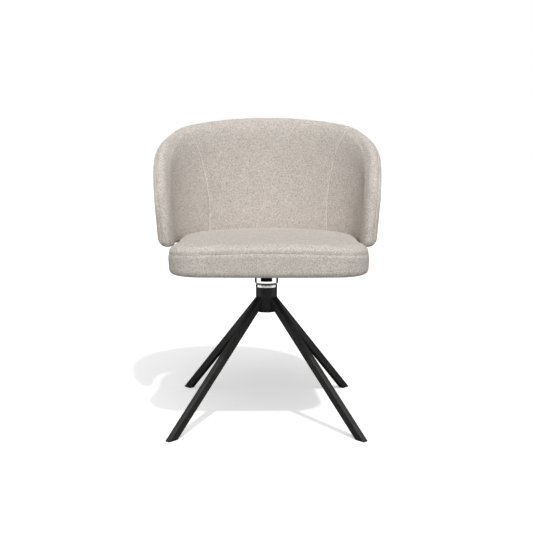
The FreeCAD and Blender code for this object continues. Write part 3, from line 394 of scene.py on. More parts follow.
def stuffed(piece):
    """Fills a sewn cover: cloth under pressure, each point held to a small move."""
    before = spots_of(piece.data)
    cloth = piece.modifiers.new("fabric", "CLOTH")
    cloth.settings.quality = 5
    cloth.settings.mass = 0.4
    cloth.settings.tension_stiffness = 25
    cloth.settings.compression_stiffness = 25
    cloth.settings.shear_stiffness = 10
    cloth.settings.bending_stiffness = 2
    cloth.settings.use_pressure = True
    cloth.settings.uniform_pressure_force = PAD_PRESSURE
    cloth.settings.effector_weights.gravity = 0
    cloth.point_cache.frame_start = 1
    cloth.point_cache.frame_end = CLOTH_FRAMES
    for step in range(1, CLOTH_FRAMES + 1):
        bpy.context.scene.frame_set(step)
    settled(piece)
    bpy.context.scene.frame_set(1)
    move = spots_of(piece.data) - before
    size = np.linalg.norm(move, axis=1)
    move *= np.minimum(1.0, PAD_REACH / np.maximum(size, 1e-9))[:, None]
    move_spots(piece.data, before + move)
    return piece


def kept_to(piece, tree, inward, outward):
    """Brings a piece back to the cut of its pattern, apart from small puckers."""
    spots = spots_of(piece.data)
    for index, spot in enumerate(spots):
        place, normal, _, gap = tree.find_nearest(Vector(spot))
        move = Vector(spot) - place
        reach = outward if move.dot(normal) > 0 else inward
        if gap > reach:
            spots[index] = place + move * (reach / gap)
    move_spots(piece.data, spots)


def pattern_of(piece):
    """Search tree over the piece's faces as they are now."""
    return BVHTree.FromPolygons([v.co for v in piece.data.vertices],
                                [tuple(f.vertices) for f in piece.data.polygons])


def subdivided(piece):
    """Finer mesh over a piece."""
    fine = piece.modifiers.new("fine", "SUBSURF")
    fine.levels = 1
    fine.render_levels = 1
    return settled(piece)


def nearest_on(lines, spots):
    """Distance from each spot to a run of points, in blocks to save memory."""
    lines = np.array(lines)
    best = np.full(len(spots), 9.0)
    for start in range(0, len(spots), 4000):
        block = spots[start:start + 4000]
        gaps = np.linalg.norm(block[:, None, :] - lines[None, :, :], axis=2)
        best[start:start + 4000] = gaps.min(axis=1)
    return best


def pinched(piece, seam, depth, width):
    """Draws the cover in along a seam."""
    spots = spots_of(piece.data)
    low = np.array(seam).min(axis=0) - 3 * width
    high = np.array(seam).max(axis=0) + 3 * width
    near = np.all((spots > low) & (spots < high), axis=1)
    gaps = nearest_on(seam, spots[near])
    move = depth * np.exp(-(gaps / width) ** 2)
    spots[near] -= normals_of(piece.data)[near] * move[:, None]
    move_spots(piece.data, spots)


def laid_on(piece, path, proud):
    """Path drawn onto the surface of a piece, then lifted off it a little."""
    tree = pattern_of(piece)
    spots = []
    for spot in path:
        place, normal = tree.find_nearest(Vector(spot))[:2]
        spots.append(tuple(place + normal * proud))
    return spots


def dense(path, step=0.002):
    """The same path with points at an even step."""
    path = np.array(path)
    steps = np.linalg.norm(path[1:] - path[:-1], axis=1)
    run = np.concatenate([[0], np.cumsum(steps)])
    at = np.linspace(0, run[-1], max(2, int(run[-1] / step)))
    return np.stack([np.interp(at, run, path[:, axis]) for axis in range(3)], axis=1)


def smoothed_path(path, rounds=6):
    """The same path with its small bends eased and its ends kept."""
    path = np.array(path)
    for _ in range(rounds):
        path[1:-1] = 0.5 * path[1:-1] + 0.25 * (path[2:] + path[:-2])
    return path


def thread(name, path, radius):
    """Round cord of thread along a path."""
    curve = bpy.data.curves.new(name, "CURVE")
    curve.dimensions = "3D"
    curve.bevel_depth = radius
    curve.bevel_resolution = 2
    line = curve.splines.new("POLY")
    line.points.add(len(path) - 1)
    for point, spot in zip(line.points, path):
        point.co = (*spot, 1.0)
    made = new_object(name, curve)
    graph = bpy.context.evaluated_depsgraph_get()
    mesh = bpy.data.meshes.new_from_object(made.evaluated_get(graph))
    bpy.data.objects.remove(made)
    mesh.name = name
    return new_object(name, mesh)


def smooth_shaded(piece):
    """Shades every face smoothly."""
    piece.data.polygons.foreach_set("use_smooth", [True] * len(piece.data.polygons))
    piece.data.update()


# Shader helpers

def node(tree, kind, **settings):
    """New shader node with its settings."""
    made = tree.nodes.new(kind)
    for name, value in settings.items():
        setattr(made, name, value)
    return made


def fed(tree, source, target):
    """Links an output to an input."""
    tree.links.new(source, target)


def math_node(tree, operation, first, second=None):
    """Result of an operation on one or two values, each a number or an output."""
    made = node(tree, "ShaderNodeMath", operation=operation)
    for index, value in enumerate((first, second)):
        if value is None:
            continue
        if isinstance(value, (int, float)):
            made.inputs[index].default_value = value
        else:
            fed(tree, value, made.inputs[index])
    return made.outputs[0]


def blend_node(tree, share, first, second, mode="MIX"):
    """Blend of two colours, each a colour or an output."""
    made = node(tree, "ShaderNodeMix", data_type="RGBA", blend_type=mode)
    for index, value in ((0, share), (6, first), (7, second)):
        if isinstance(value, (int, float)):
            made.inputs[index].default_value = value
        elif isinstance(value, tuple):
            made.inputs[index].default_value = value
        else:
            fed(tree, value, made.inputs[index])
    return made.outputs[2]


def noise_node(tree, place, scale, detail=2.0, rough=0.5):
    """Noise at a place."""
    made = node(tree, "ShaderNodeTexNoise")
    made.inputs["Scale"].default_value = scale
    made.inputs["Detail"].default_value = detail
    made.inputs["Roughness"].default_value = rough
    if place is not None:
        fed(tree, place, made.inputs["Vector"])
    return made.outputs["Fac"]


def ramp_node(tree, value, stops):
    """Colour read from a ramp of stops."""
    made = node(tree, "ShaderNodeValToRGB")
    made.color_ramp.elements[0].position = stops[0][0]
    made.color_ramp.elements[0].color = stops[0][1]
    made.color_ramp.elements[1].position = stops[-1][0]
    made.color_ramp.elements[1].color = stops[-1][1]
    for place, colour in stops[1:-1]:
        made.color_ramp.elements.new(place).color = colour
    fed(tree, value, made.inputs[0])
    return made.outputs[0]


def grey(value):
    """Grey with full opacity."""
    return (value, value, value, 1.0)


def group_with(name, inputs, outputs):
    """Node group with its sockets, and its input and output nodes."""
    tree = bpy.data.node_groups.new(name, "ShaderNodeTree")
    for label, kind, value in inputs:
        socket = tree.interface.new_socket(name=label, in_out="INPUT", socket_type=kind)
        if value is not None:
            socket.default_value = value
    for label, kind in outputs:
        tree.interface.new_socket(name=label, in_out="OUTPUT", socket_type=kind)
    return tree, node(tree, "NodeGroupInput"), node(tree, "NodeGroupOutput")


def melange_weave():
    """Coarse plain weave of mixed yarns. Gives colour, height and roughness."""
    tree, given, result = group_with(
        "melange_weave",
        [("Yarns", "NodeSocketVector", None), ("Place", "NodeSocketVector", None),
         ("Light", "NodeSocketColor", (0.7, 0.65, 0.6, 1)),
         ("Middle", "NodeSocketColor", (0.6, 0.55, 0.5, 1)),
         ("Dark", "NodeSocketColor", (0.4, 0.36, 0.32, 1)),
         ("Flecks", "NodeSocketFloat", 0.3)],
        [("Color", "NodeSocketColor"), ("Height", "NodeSocketFloat"), ("Roughness", "NodeSocketFloat")])
    parts = node(tree, "ShaderNodeSeparateXYZ")
    fed(tree, given.outputs["Yarns"], parts.inputs[0])
    u, v = parts.outputs[0], parts.outputs[1]
    # slight wander of the yarns
    wander = noise_node(tree, given.outputs["Yarns"], 0.35, 1.0)
    u = math_node(tree, "ADD", u, math_node(tree, "MULTIPLY", wander, 0.5))
    v = math_node(tree, "ADD", v, math_node(tree, "MULTIPLY", wander, 0.4))
    over = math_node(tree, "MODULO", math_node(tree, "ADD", math_node(tree, "FLOOR", u),
                                               math_node(tree, "FLOOR", v)), 2.0)
    over = math_node(tree, "ABSOLUTE", over)
    warp_round = math_node(tree, "SINE", math_node(tree, "MULTIPLY", math_node(tree, "FRACT", u), math.pi))
    weft_round = math_node(tree, "SINE", math_node(tree, "MULTIPLY", math_node(tree, "FRACT", v), math.pi))
    warp_top = math_node(tree, "MULTIPLY", warp_round, over)
    weft_top = math_node(tree, "MULTIPLY", weft_round, math_node(tree, "SUBTRACT", 1.0, over))
    height = math_node(tree, "ADD", warp_top, weft_top)
    # each yarn keeps its own tone along its length
    warp_place = node(tree, "ShaderNodeCombineXYZ")
    fed(tree, math_node(tree, "FLOOR", u), warp_place.inputs[0])
    fed(tree, math_node(tree, "MULTIPLY", v, 0.22), warp_place.inputs[1])
    weft_place = node(tree, "ShaderNodeCombineXYZ")
    fed(tree, math_node(tree, "MULTIPLY", u, 0.22), weft_place.inputs[0])
    fed(tree, math_node(tree, "FLOOR", v), weft_place.inputs[1])
    weft_place.inputs[2].default_value = 7.3
    warp_tone = noise_node(tree, warp_place.outputs[0], 0.9, 2.0, 0.7)
    weft_tone = noise_node(tree, weft_place.outputs[0], 0.9, 2.0, 0.7)
    tone = math_node(tree, "ADD", math_node(tree, "MULTIPLY", warp_tone, over),
                     math_node(tree, "MULTIPLY", weft_tone, math_node(tree, "SUBTRACT", 1.0, over)))
    light = math_node(tree, "SMOOTH_MIN", math_node(tree, "MULTIPLY",
                      math_node(tree, "MAXIMUM", math_node(tree, "SUBTRACT", tone, 0.5), 0.0), 5.0), 1.0)
    dark = math_node(tree, "SMOOTH_MIN", math_node(tree, "MULTIPLY",
                     math_node(tree, "MAXIMUM", math_node(tree, "SUBTRACT", 0.5, tone), 0.0), 5.0), 1.0)
    colour = blend_node(tree, light, given.outputs["Middle"], given.outputs["Light"])
    share = math_node(tree, "MULTIPLY", dark, given.outputs["Flecks"])
    colour = blend_node(tree, share, colour, given.outputs["Dark"])
    # flecks of two to four yarns and slow clouding across the cloth
    fleck = noise_node(tree, given.outputs["Place"], 320.0, 3.0, 0.65)
    fleck_tone = ramp_node(tree, fleck, [(0.3, grey(0.58)), (0.5, grey(0.98)), (0.70, grey(1.24))])
    colour = blend_node(tree, 1.0, colour, fleck_tone, "MULTIPLY")
    cloud = noise_node(tree, given.outputs["Place"], 27.0, 3.0, 0.6)
    cloud_tone = ramp_node(tree, cloud, [(0.3, grey(0.955)), (0.7, grey(1.03))])
    colour = blend_node(tree, 1.0, colour, cloud_tone, "MULTIPLY")
    # shade between the yarns
    depth = ramp_node(tree, height, [(0.0, grey(0.72)), (0.55, grey(1.0))])
    colour = blend_node(tree, 1.0, colour, depth, "MULTIPLY")
    fuzz = noise_node(tree, given.outputs["Place"], 2000.0, 2.0, 0.7)
    rise = math_node(tree, "ADD", math_node(tree, "MULTIPLY", height, 0.8),
                     math_node(tree, "MULTIPLY", fuzz, 0.5))
    rise = math_node(tree, "ADD", rise, math_node(tree, "MULTIPLY", fleck, 1.1))
    rough = math_node(tree, "ADD", 0.82, math_node(tree, "MULTIPLY", fuzz, 0.14))
    fed(tree, colour, result.inputs["Color"])
    fed(tree, rise, result.inputs["Height"])
    fed(tree, rough, result.inputs["Roughness"])
    return tree


def surface_wear():
    """Fine grain, clouding and a brighter line on worn edges. Gives colour, height and roughness."""
    tree, given, result = group_with(
        "surface_wear",
        [("Base", "NodeSocketColor", (0.02, 0.02, 0.02, 1)),
         ("Worn", "NodeSocketColor", (0.06, 0.06, 0.06, 1)),
         ("Grain", "NodeSocketFloat", 1800.0), ("Wear", "NodeSocketFloat", 0.3),
         ("Smooth", "NodeSocketFloat", 0.4), ("Vary", "NodeSocketFloat", 0.1)],
        [("Color", "NodeSocketColor"), ("Height", "NodeSocketFloat"), ("Roughness", "NodeSocketFloat")])
    place = node(tree, "ShaderNodeTexCoord").outputs["Object"]
    fine = node(tree, "ShaderNodeTexNoise")
    fed(tree, place, fine.inputs["Vector"])
    fed(tree, given.outputs["Grain"], fine.inputs["Scale"])
    cloud = noise_node(tree, place, 22.0, 4.0, 0.6)
    shape = node(tree, "ShaderNodeNewGeometry").outputs["Pointiness"]
    edge = ramp_node(tree, shape, [(0.505, grey(0.0)), (0.56, grey(1.0))])
    patch = ramp_node(tree, noise_node(tree, place, 60.0, 3.0, 0.7), [(0.42, grey(0.0)), (0.62, grey(1.0))])
    worn = math_node(tree, "MULTIPLY", math_node(tree, "MULTIPLY", edge, patch), given.outputs["Wear"])
    colour = blend_node(tree, worn, given.outputs["Base"], given.outputs["Worn"])
    tone = ramp_node(tree, cloud, [(0.3, grey(0.86)), (0.7, grey(1.1))])
    colour = blend_node(tree, 1.0, colour, tone, "MULTIPLY")
    spread = math_node(tree, "MULTIPLY", math_node(tree, "SUBTRACT", cloud, 0.5), given.outputs["Vary"])
    rough = math_node(tree, "ADD", given.outputs["Smooth"], spread)
    fed(tree, colour, result.inputs["Color"])
    fed(tree, fine.outputs["Fac"], result.inputs["Height"])
    fed(tree, rough, result.inputs["Roughness"])
    return tree


WEAVE = melange_weave()
WEAR = surface_wear()


def new_material(name):
    """New material with its tree and its shader."""
    made = bpy.data.materials.new(name)
    made.use_nodes = True
    tree = made.node_tree
    return made, tree, tree.nodes["Principled BSDF"]


def bump(tree, height, strength, distance, shader):
    """Fine relief on a shader."""
    made = node(tree, "ShaderNodeBump")
    made.inputs["Strength"].default_value = strength
    made.inputs["Distance"].default_value = distance
    fed(tree, height, made.inputs["Height"])
    fed(tree, made.outputs[0], shader.inputs["Normal"])


def greige_weave(name, light, middle, dark, flecks=0.45, relief=0.6):
    """Woven cloth in three yarn colours."""
    made, tree, shader = new_material(name)
    cloth = node(tree, "ShaderNodeGroup", node_tree=WEAVE)
    place = node(tree, "ShaderNodeUVMap", uv_map="yarns")
    fed(tree, place.outputs[0], cloth.inputs["Yarns"])
    fed(tree, node(tree, "ShaderNodeTexCoord").outputs["Object"], cloth.inputs["Place"])
    cloth.inputs["Light"].default_value = (*light, 1)
    cloth.inputs["Middle"].default_value = (*middle, 1)
    cloth.inputs["Dark"].default_value = (*dark, 1)
    cloth.inputs["Flecks"].default_value = flecks
    fed(tree, cloth.outputs["Color"], shader.inputs["Base Color"])
    fed(tree, cloth.outputs["Roughness"], shader.inputs["Roughness"])
    shader.inputs["Specular IOR Level"].default_value = 0.2
    shader.inputs["Sheen Weight"].default_value = 0.15
    shader.inputs["Sheen Roughness"].default_value = 0.5
    shader.inputs["Sheen Tint"].default_value = (0.9, 0.86, 0.82, 1)
    bump(tree, cloth.outputs["Height"], relief, 0.0005, shader)
    return made


def worn_finish(name, base, worn, smooth, grain=1800.0, wear=0.3, vary=0.1, metal=0.0, relief=0.15,
                distance=0.0001, shine=0.5):
    """Metal or plastic with grain, clouding and worn edges."""
    made, tree, shader = new_material(name)
    finish = node(tree, "ShaderNodeGroup", node_tree=WEAR)
    finish.inputs["Base"].default_value = (*base, 1)
    finish.inputs["Worn"].default_value = (*worn, 1)
    finish.inputs["Grain"].default_value = grain
    finish.inputs["Wear"].default_value = wear
    finish.inputs["Smooth"].default_value = smooth
    finish.inputs["Vary"].default_value = vary
    fed(tree, finish.outputs["Color"], shader.inputs["Base Color"])
    fed(tree, finish.outputs["Roughness"], shader.inputs["Roughness"])
    shader.inputs["Metallic"].default_value = metal
    shader.inputs["Specular IOR Level"].default_value = shine
    bump(tree, finish.outputs["Height"], relief, distance, shader)
    return made


def birch_ply():
    """Plywood with its grain and its plies."""
    made, tree, shader = new_material("birch_ply")
    place = node(tree, "ShaderNodeTexCoord").outputs["Object"]
    stretch = node(tree, "ShaderNodeMapping")
    stretch.inputs["Scale"].default_value = (12.0, 90.0, 90.0)
    fed(tree, place, stretch.inputs["Vector"])
    grain = noise_node(tree, stretch.outputs[0], 1.0, 5.0, 0.65)
    colour = ramp_node(tree, grain, [(0.3, (0.42, 0.28, 0.15, 1)), (0.55, (0.60, 0.44, 0.27, 1)),
                                     (0.75, (0.68, 0.53, 0.35, 1))])
    plies = node(tree, "ShaderNodeTexWave", wave_type="BANDS", bands_direction="Z")
    plies.inputs["Scale"].default_value = 110.0
    fed(tree, place, plies.inputs["Vector"])
    layer = ramp_node(tree, plies.outputs["Fac"], [(0.4, grey(0.9)), (0.6, grey(1.0))])
    fed(tree, blend_node(tree, 1.0, colour, layer, "MULTIPLY"), shader.inputs["Base Color"])
    shader.inputs["Roughness"].default_value = 0.6
    bump(tree, grain, 0.2, 0.0003, shader)
    return made


def fleece():
    """Matted black fibre."""
    made, tree, shader = new_material("black_fleece")
    place = node(tree, "ShaderNodeTexCoord").outputs["Object"]
    fibre = noise_node(tree, place, 900.0, 3.0, 0.8)
    cloud = noise_node(tree, place, 40.0, 3.0, 0.6)
    both = math_node(tree, "ADD", math_node(tree, "MULTIPLY", fibre, 0.6),
                     math_node(tree, "MULTIPLY", cloud, 0.4))
    colour = ramp_node(tree, both, [(0.3, (0.010, 0.010, 0.010, 1)), (0.7, (0.035, 0.034, 0.033, 1))])
    fed(tree, colour, shader.inputs["Base Color"])
    shader.inputs["Roughness"].default_value = 0.95
    shader.inputs["Sheen Weight"].default_value = 0.3
    bump(tree, fibre, 0.5, 0.0004, shader)
    return made


CLOTH = greige_weave("greige_weave", (0.70, 0.648, 0.598), (0.615, 0.565, 0.519), (0.42, 0.378, 0.336))
THREAD = greige_weave("seam_thread", (0.83, 0.78, 0.73), (0.79, 0.74, 0.69), (0.66, 0.61, 0.56),
                      flecks=0.2, relief=0.3)
# Darker cloth for the folds at the seat's top seam and along the back's rim: the darkness is painted shade
# of the groove at those seams
SEAM_GROOVE_SHADE = greige_weave("seam_fold_groove_shade", (0.56, 0.51, 0.465), (0.50, 0.455, 0.41), (0.38, 0.34, 0.30),
                    flecks=0.4, relief=0.4)
POWDER = worn_finish("powder_black", (0.018, 0.0176, 0.0168), (0.05, 0.05, 0.049), smooth=0.46,
                     grain=2600.0, wear=0.25, vary=0.12, relief=0.25, distance=0.00006, shine=0.35)
CHROME = worn_finish("polished_chrome", (0.86, 0.86, 0.87), (0.9, 0.9, 0.9), smooth=0.006,
                     grain=900.0, wear=0.2, vary=0.004, metal=1.0, relief=0.0, distance=0.00002)
BRIGHT = worn_finish("bright_steel", (0.72, 0.72, 0.71), (0.85, 0.85, 0.84), smooth=0.16,
                     grain=1400.0, wear=0.3, vary=0.08, metal=1.0, relief=0.06, distance=0.00003)
ZINC = worn_finish("zinc_steel", (0.50, 0.51, 0.53), (0.7, 0.7, 0.7), smooth=0.34,
                   grain=1200.0, wear=0.4, vary=0.12, metal=1.0, relief=0.12, distance=0.00005)
ACETAL = worn_finish("bearing_plastic", (0.70, 0.69, 0.63), (0.8, 0.8, 0.76), smooth=0.45,
                     grain=900.0, wear=0.1, vary=0.06, relief=0.08, distance=0.00005)
BLACK_PLASTIC = worn_finish("black_plastic", (0.024, 0.024, 0.024), (0.08, 0.08, 0.08), smooth=0.52,
                            grain=1500.0, wear=0.3, vary=0.1, relief=0.2, distance=0.00008)
PLY = birch_ply()
FLEECE = fleece()


def finish_metal_and_wood():
    """Each rigid node keeps its shape and gets its finish."""
    by_slot = {"powder_black": POWDER, "polished_chrome": CHROME, "bright_steel": BRIGHT,
               "zinc_steel": ZINC, "bearing_plastic": ACETAL, "black_plastic": BLACK_PLASTIC,
               "plywood": PLY, "cushion_foam": CLOTH, "greige_weave": CLOTH, "dust_fleece": FLEECE}
    for entry in frame["record"]["subparts"]:
        piece = frame["nodes"][entry["node"]]
        for place in piece.material_slots:
            place.material = by_slot[entry["material_slot"]]


def dress(piece, finish, body="seat"):
    """Gives a piece its finish and the body that it rides."""
    piece.data.materials.clear()
    piece.data.materials.append(finish)
    smooth_shaded(piece)
    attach(piece, body)


def woven(piece, u, v):
    """Lays the weave over a piece: u and v in metres for each corner of each face."""
    layer = piece.data.uv_layers.new(name="yarns")
    flat = np.empty(len(piece.data.loops) * 2)
    flat[0::2] = u / YARN
    flat[1::2] = v / YARN
    layer.data.foreach_set("uv", flat)


def corner_spots(mesh):
    """Vertex index of every face corner, and the face's middle normal for it."""
    index = np.empty(len(mesh.loops), dtype=np.int64)
    mesh.loops.foreach_get("vertex_index", index)
    normals = np.empty(len(mesh.polygons) * 3)
    mesh.polygons.foreach_get("normal", normals)
    totals = np.empty(len(mesh.polygons), dtype=np.int64)
    mesh.polygons.foreach_get("loop_total", totals)
    return index, np.repeat(normals.reshape(-1, 3), totals, axis=0)


def seam_line(name, piece, seam, finish, radius, proud):
    """Thread or fold that lies on a piece along a seam."""
    path = smoothed_path(laid_on(piece, seam, proud), 30)
    line = thread(name, path, radius)
    index = corner_spots(line.data)[0]
    spots = spots_of(line.data)[index]
    woven(line, spots[:, 0] + spots[:, 1], spots[:, 2])
    dress(line, finish)
    return line


# Seat cushion

def crown_share(scale):
    """Share of the crown's height: flat in the middle, rounded down at the edge."""
    return (1 - scale ** CROWN_EDGE) ** (1 / CROWN_ROUND)


def seat_cushion():
    """Filled seat cushion with its seam round the top."""
    rings = [seat_ring(inset, height) for inset, height in HEM_RINGS]
    for angle in HEM_ANGLES:
        turn = math.radians(angle)
        rings.append(seat_ring(SEAT_ROLL - (SEAT_ROLL + CUSHION_SWELL) * math.sin(turn),
                               SEAT_HEM + SEAT_ROLL * (1 - math.cos(turn))))
    for inset, height, lift in CUSHION_SIDE:
        rings.append(seat_ring(inset, height, 1.0, lift))
    for scale in CROWN_STEPS:
        height = SEAT_LINE + SEAT_CROWN * crown_share(scale)
        rings.append(seat_ring(-SEAM_OUT, height, scale, scale ** 4))
    cushion = skin("seat_cushion", rings)
    pattern = pattern_of(cushion)
    remeshed(cushion)
    stuffed(cushion)
    kept_to(cushion, pattern, inward=0.0008, outward=0.0005)
    subdivided(cushion)
    ring = seat_ring(-0.0020, SEAT_LINE, 1.0, 1.0)
    seam = smoothed_path(dense(ring + ring[:1]))
    pinched(cushion, seam, depth=0.0018, width=0.0040)
    index, normals = corner_spots(cushion.data)
    spots = spots_of(cushion.data)[index]
    flat = LOOP[:, :2]
    run = np.concatenate([[0], np.cumsum(np.hypot(*(np.vstack([flat[1:], flat[:1]]) - flat).T))])
    angles = np.arctan2(flat[:, 0] - SEAT_MIDDLE[0], flat[:, 1] - SEAT_MIDDLE[1])
    order = np.argsort(angles)
    here = np.arctan2(spots[:, 0] - SEAT_MIDDLE[0], spots[:, 1] - SEAT_MIDDLE[1])
    along = np.interp(here, angles[order], run[:-1][order])
    side = np.abs(normals[:, 2]) < 0.75
    u = np.where(side, along, spots[:, 0])
    v = np.where(side, spots[:, 2], spots[:, 1])
    woven(cushion, u, v)
    dress(cushion, CLOTH)
    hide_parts("seat_foam", "seat_cover_top", "seat_cover_band")
    # the fold's darker cloth is painted shade of the seam's groove
    fold = seam_line("seat_top_seam", cushion, seam, SEAM_GROOVE_SHADE, FOLD_THICK, proud=0.0001)
    for piece in (cushion, fold):
        moved_across(piece, SEAT_SHIFT)
    return cushion


# Back

def seam_side(height):
    """Half width of the centre panel at a height, on the inner face."""
    places = np.array([0.42, 0.47, 0.516, 0.563, 0.622, 0.685, 0.7237, 0.756, 0.79])
    widths = np.array([0.163, 0.162, 0.161, 0.1625, 0.170, 0.183, 0.1965, 0.2158, 0.240])
    return float(np.interp(height, places, widths))


def inner_face(turn, height):
    """How far the inner face stands off the middle of the wall at a height."""
    top = wall_sizes(turn)[1]
    rise = (height - top + RIM_SWELL) / RIM_SWELL
    return -inner_half(turn) * math.sqrt(max(1 - max(rise, 0.0) ** 2, 0.0))


def turn_at(width, height):
    """Turn of the back's inner face at a half width and height."""
    low, high = 5.0, 80.0
    for _ in range(30):
        middle = (low + high) / 2
        if wall_spot(middle, inner_face(middle, height), height)[0] < width:
            low = middle
        else:
            high = middle
    return low


def inner_seam(side):
    """From under the seat up the inner face and over the rim to the outer seam."""
    path = []
    for height in np.linspace(0.44, 0.78, 80):
        turn = turn_at(seam_side(height), height)
        top = wall_sizes(turn)[1]
        if height > top - 0.003:
            break
        x, y, z = wall_spot(side * turn, inner_face(turn, height), height)
        drift = (SEAT_SHIFT - BACK_SHIFT) * min(max((0.76 - height) / 0.2, 0.0), 1.0)
        path.append((x + drift, y, z))
        last = turn
    half, top = wall_sizes(last)[:2]
    for angle in np.linspace(5, RIM_SEAM, 10):
        a = math.radians(angle)
        path.append(wall_spot(side * last, half * math.sin(a), top - half * (1 - math.cos(a))))
    return smoothed_path(dense(path), 30)


def outer_seam():
    """Along the rim and down both arms' fronts."""
    path = []
    turns = list(np.linspace(0, 90, 60)) + list(np.linspace(90.5, NOSE_TURN, 60))
    a = math.radians(RIM_SEAM)
    for turn in turns:
        half, top, low = wall_sizes(turn)
        path.append(wall_spot(turn, half * math.sin(a), top - half + half * math.cos(a)))
    half, top, low = wall_sizes(NOSE_TURN)
    start = top - half + half * math.cos(a)
    for height in np.linspace(start, low + half, 30)[1:]:
        path.append(wall_spot(NOSE_TURN, half * 0.8, height))
    low = wall_sizes(TOE_TURN)[2]
    path.append(wall_spot(TOE_TURN, 0.004, low))
    mirror = [(-x, y, z) for x, y, z in reversed(path[1:])]
    return smoothed_path(dense(mirror + path), 12)


def back_upholstery():
    """Filled back with both arms, and the three seams on it."""
    end = [ARM_TURN - math.degrees(BACK_HALF * share / ARM_RADIUS)
           for share in (1.0, 0.85, 0.7, 0.55, 0.42, 0.3, 0.2, 0.12, 0.06, 0.02)]
    half_turns = list(np.linspace(0, 88, 34)) + list(np.linspace(89, 95.5, 8)) + end
    turns = [-turn for turn in reversed(half_turns[1:])] + half_turns
    back = skin("back_upholstery", [wall_ring(turn, BACK_INSET) for turn in turns])
    pattern = pattern_of(back)
    remeshed(back)
    stuffed(back)
    kept_to(back, pattern, inward=0.0010, outward=0.0004)
    subdivided(back)
    seams = [inner_seam(1), inner_seam(-1), outer_seam()]
    on_surface = [smoothed_path(laid_on(back, seam, proud=0.0), 8) for seam in seams]
    for seam in on_surface:
        pinched(back, seam, depth=0.0020, width=0.0042)
    lay_back_weave(back)
    dress(back, CLOTH)
    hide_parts("back_foam_front", "back_foam_rear", "arm_roll_left", "arm_roll_right",
                "back_cover_centre", "back_cover_left", "back_cover_right", "back_cover_outer")
    names = ("back_seam_left", "back_seam_right", "back_rim_seam")
    pieces = [back]
    thickness = (THREAD_THICK, THREAD_THICK, FOLD_THICK)
    # the rim seam's fold is darker cloth: painted shade of its groove
    for name, seam, finish, radius in zip(names, seams, (THREAD, THREAD, SEAM_GROOVE_SHADE), thickness):
        pieces.append(seam_line(name, back, seam, finish, radius, proud=0.0002))
    for piece in pieces:
        moved_across(piece, BACK_SHIFT)
    return back


def lay_back_weave(back):
    """Weave runs round the back, and from the seat up and over the rim."""
    turns = np.linspace(-ARM_TURN, ARM_TURN, 800)
    plan = np.array([wall_plan(turn) for turn in turns])
    run = np.concatenate([[0], np.cumsum(np.hypot(*(plan[1:] - plan[:-1]).T))])
    sizes = np.array([wall_sizes(turn) for turn in turns])
    index, normals = corner_spots(back.data)
    spots = spots_of(back.data)
    nearest = np.empty(len(spots), dtype=np.int64)
    for start in range(0, len(spots), 4000):
        block = spots[start:start + 4000, :2]
        gaps = np.hypot(block[:, None, 0] - plan[None, :, 0], block[:, None, 1] - plan[None, :, 1])
        nearest[start:start + 4000] = gaps.argmin(axis=1)
    along = run[nearest]
    angle = np.radians(turns[nearest])
    out = (spots[:, 0] - plan[nearest, 0]) * np.sin(angle) + (spots[:, 1] - plan[nearest, 1]) * np.cos(angle)
    out -= (spots[:, 2] - SEAT_LINE) * BACK_LEAN
    half = sizes[nearest, 0]
    middle = sizes[nearest, 1] - half
    above = spots[:, 2] - middle
    round_top = np.arctan2(out, np.maximum(above, 1e-6)) + math.pi / 2
    up = np.where(above > 0, middle + BACK_HALF * round_top,
                  np.where(out < 0, spots[:, 2], 2 * middle - spots[:, 2] + BACK_HALF * math.pi))
    ahead = np.abs(normals[:, 0] * np.cos(angle[index]) - normals[:, 1] * np.sin(angle[index]))
    round_arm = np.where(ahead > 0.7, run[-1] + out[index], along[index])
    woven(back, round_arm, up[index])


# Chrome collar at the swivel

def spun(name, profile, sides=144):
    """Ring turned round the swivel's axis from its closed section."""
    turns = [2 * math.pi * step / sides for step in range(sides)]
    rings = [[(radius * math.cos(turn), radius * math.sin(turn), height) for turn in turns]
             for radius, height in profile + profile[:1]]
    ring = skin(name, rings, closed_ends=False)
    tidy = bmesh.new()
    tidy.from_mesh(ring.data)
    bmesh.ops.remove_doubles(tidy, verts=tidy.verts, dist=0.00001)
    bmesh.ops.recalc_face_normals(tidy, faces=tidy.faces)
    tidy.to_mesh(ring.data)
    tidy.free()
    return ring


def turned_collar():
    """Sleeve whose lower edge is rolled in, smooth enough to mirror the studio without facets."""
    lowest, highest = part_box("swivel_collar")
    outside = (highest[0] - lowest[0]) / 2
    bore = outside - COLLAR_WALL
    low = lowest[2]
    high = highest[2]
    edge = COLLAR_EDGE
    profile = [(bore, high), (bore, high - 0.0005), (bore, low + edge + 0.0005), (bore, low + edge),
               (outside - edge, low + 0.0012), (outside - edge, low + 0.0006)]
    for angle in np.linspace(-90, 0, 13):
        a = math.radians(angle)
        profile.append((outside - edge + edge * math.cos(a), low + edge + edge * math.sin(a)))
    profile += [(outside, low + edge + 0.0008), (outside, high - 0.0005), (outside, high)]
    collar = spun("chrome_collar", profile)
    dress(collar, CHROME)
    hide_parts("swivel_collar")


# Dust cover under the seat

def dust_cloth():
    """Thin fleece stretched under the seat, closed across its middle."""
    rings = []
    for scale, sag in ((1.0, 0.0), (0.97, 0.0003), (0.8, 0.0006), (0.6, 0.0002), (0.45, 0.0), (0.05, 0.0)):
        rings.append(seat_ring(DUST_INSET, DUST_LEVEL - sag, scale))
    cloth = skin("dust_cloth", rings, closed_ends=False)
    fill = bmesh.new()
    fill.from_mesh(cloth.data)
    rim = [edge for edge in fill.edges if edge.is_boundary and edge.calc_length() < 0.002]
    bmesh.ops.holes_fill(fill, edges=rim, sides=0)
    fill.to_mesh(cloth.data)
    fill.free()
    thick = cloth.modifiers.new("fleece", "SOLIDIFY")
    thick.thickness = FLEECE_THICK
    thick.offset = 0
    settled(cloth)
    dress(cloth, FLEECE)
    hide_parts("dust_cover")
    return cloth


# Studio: floor, background, lamps and camera

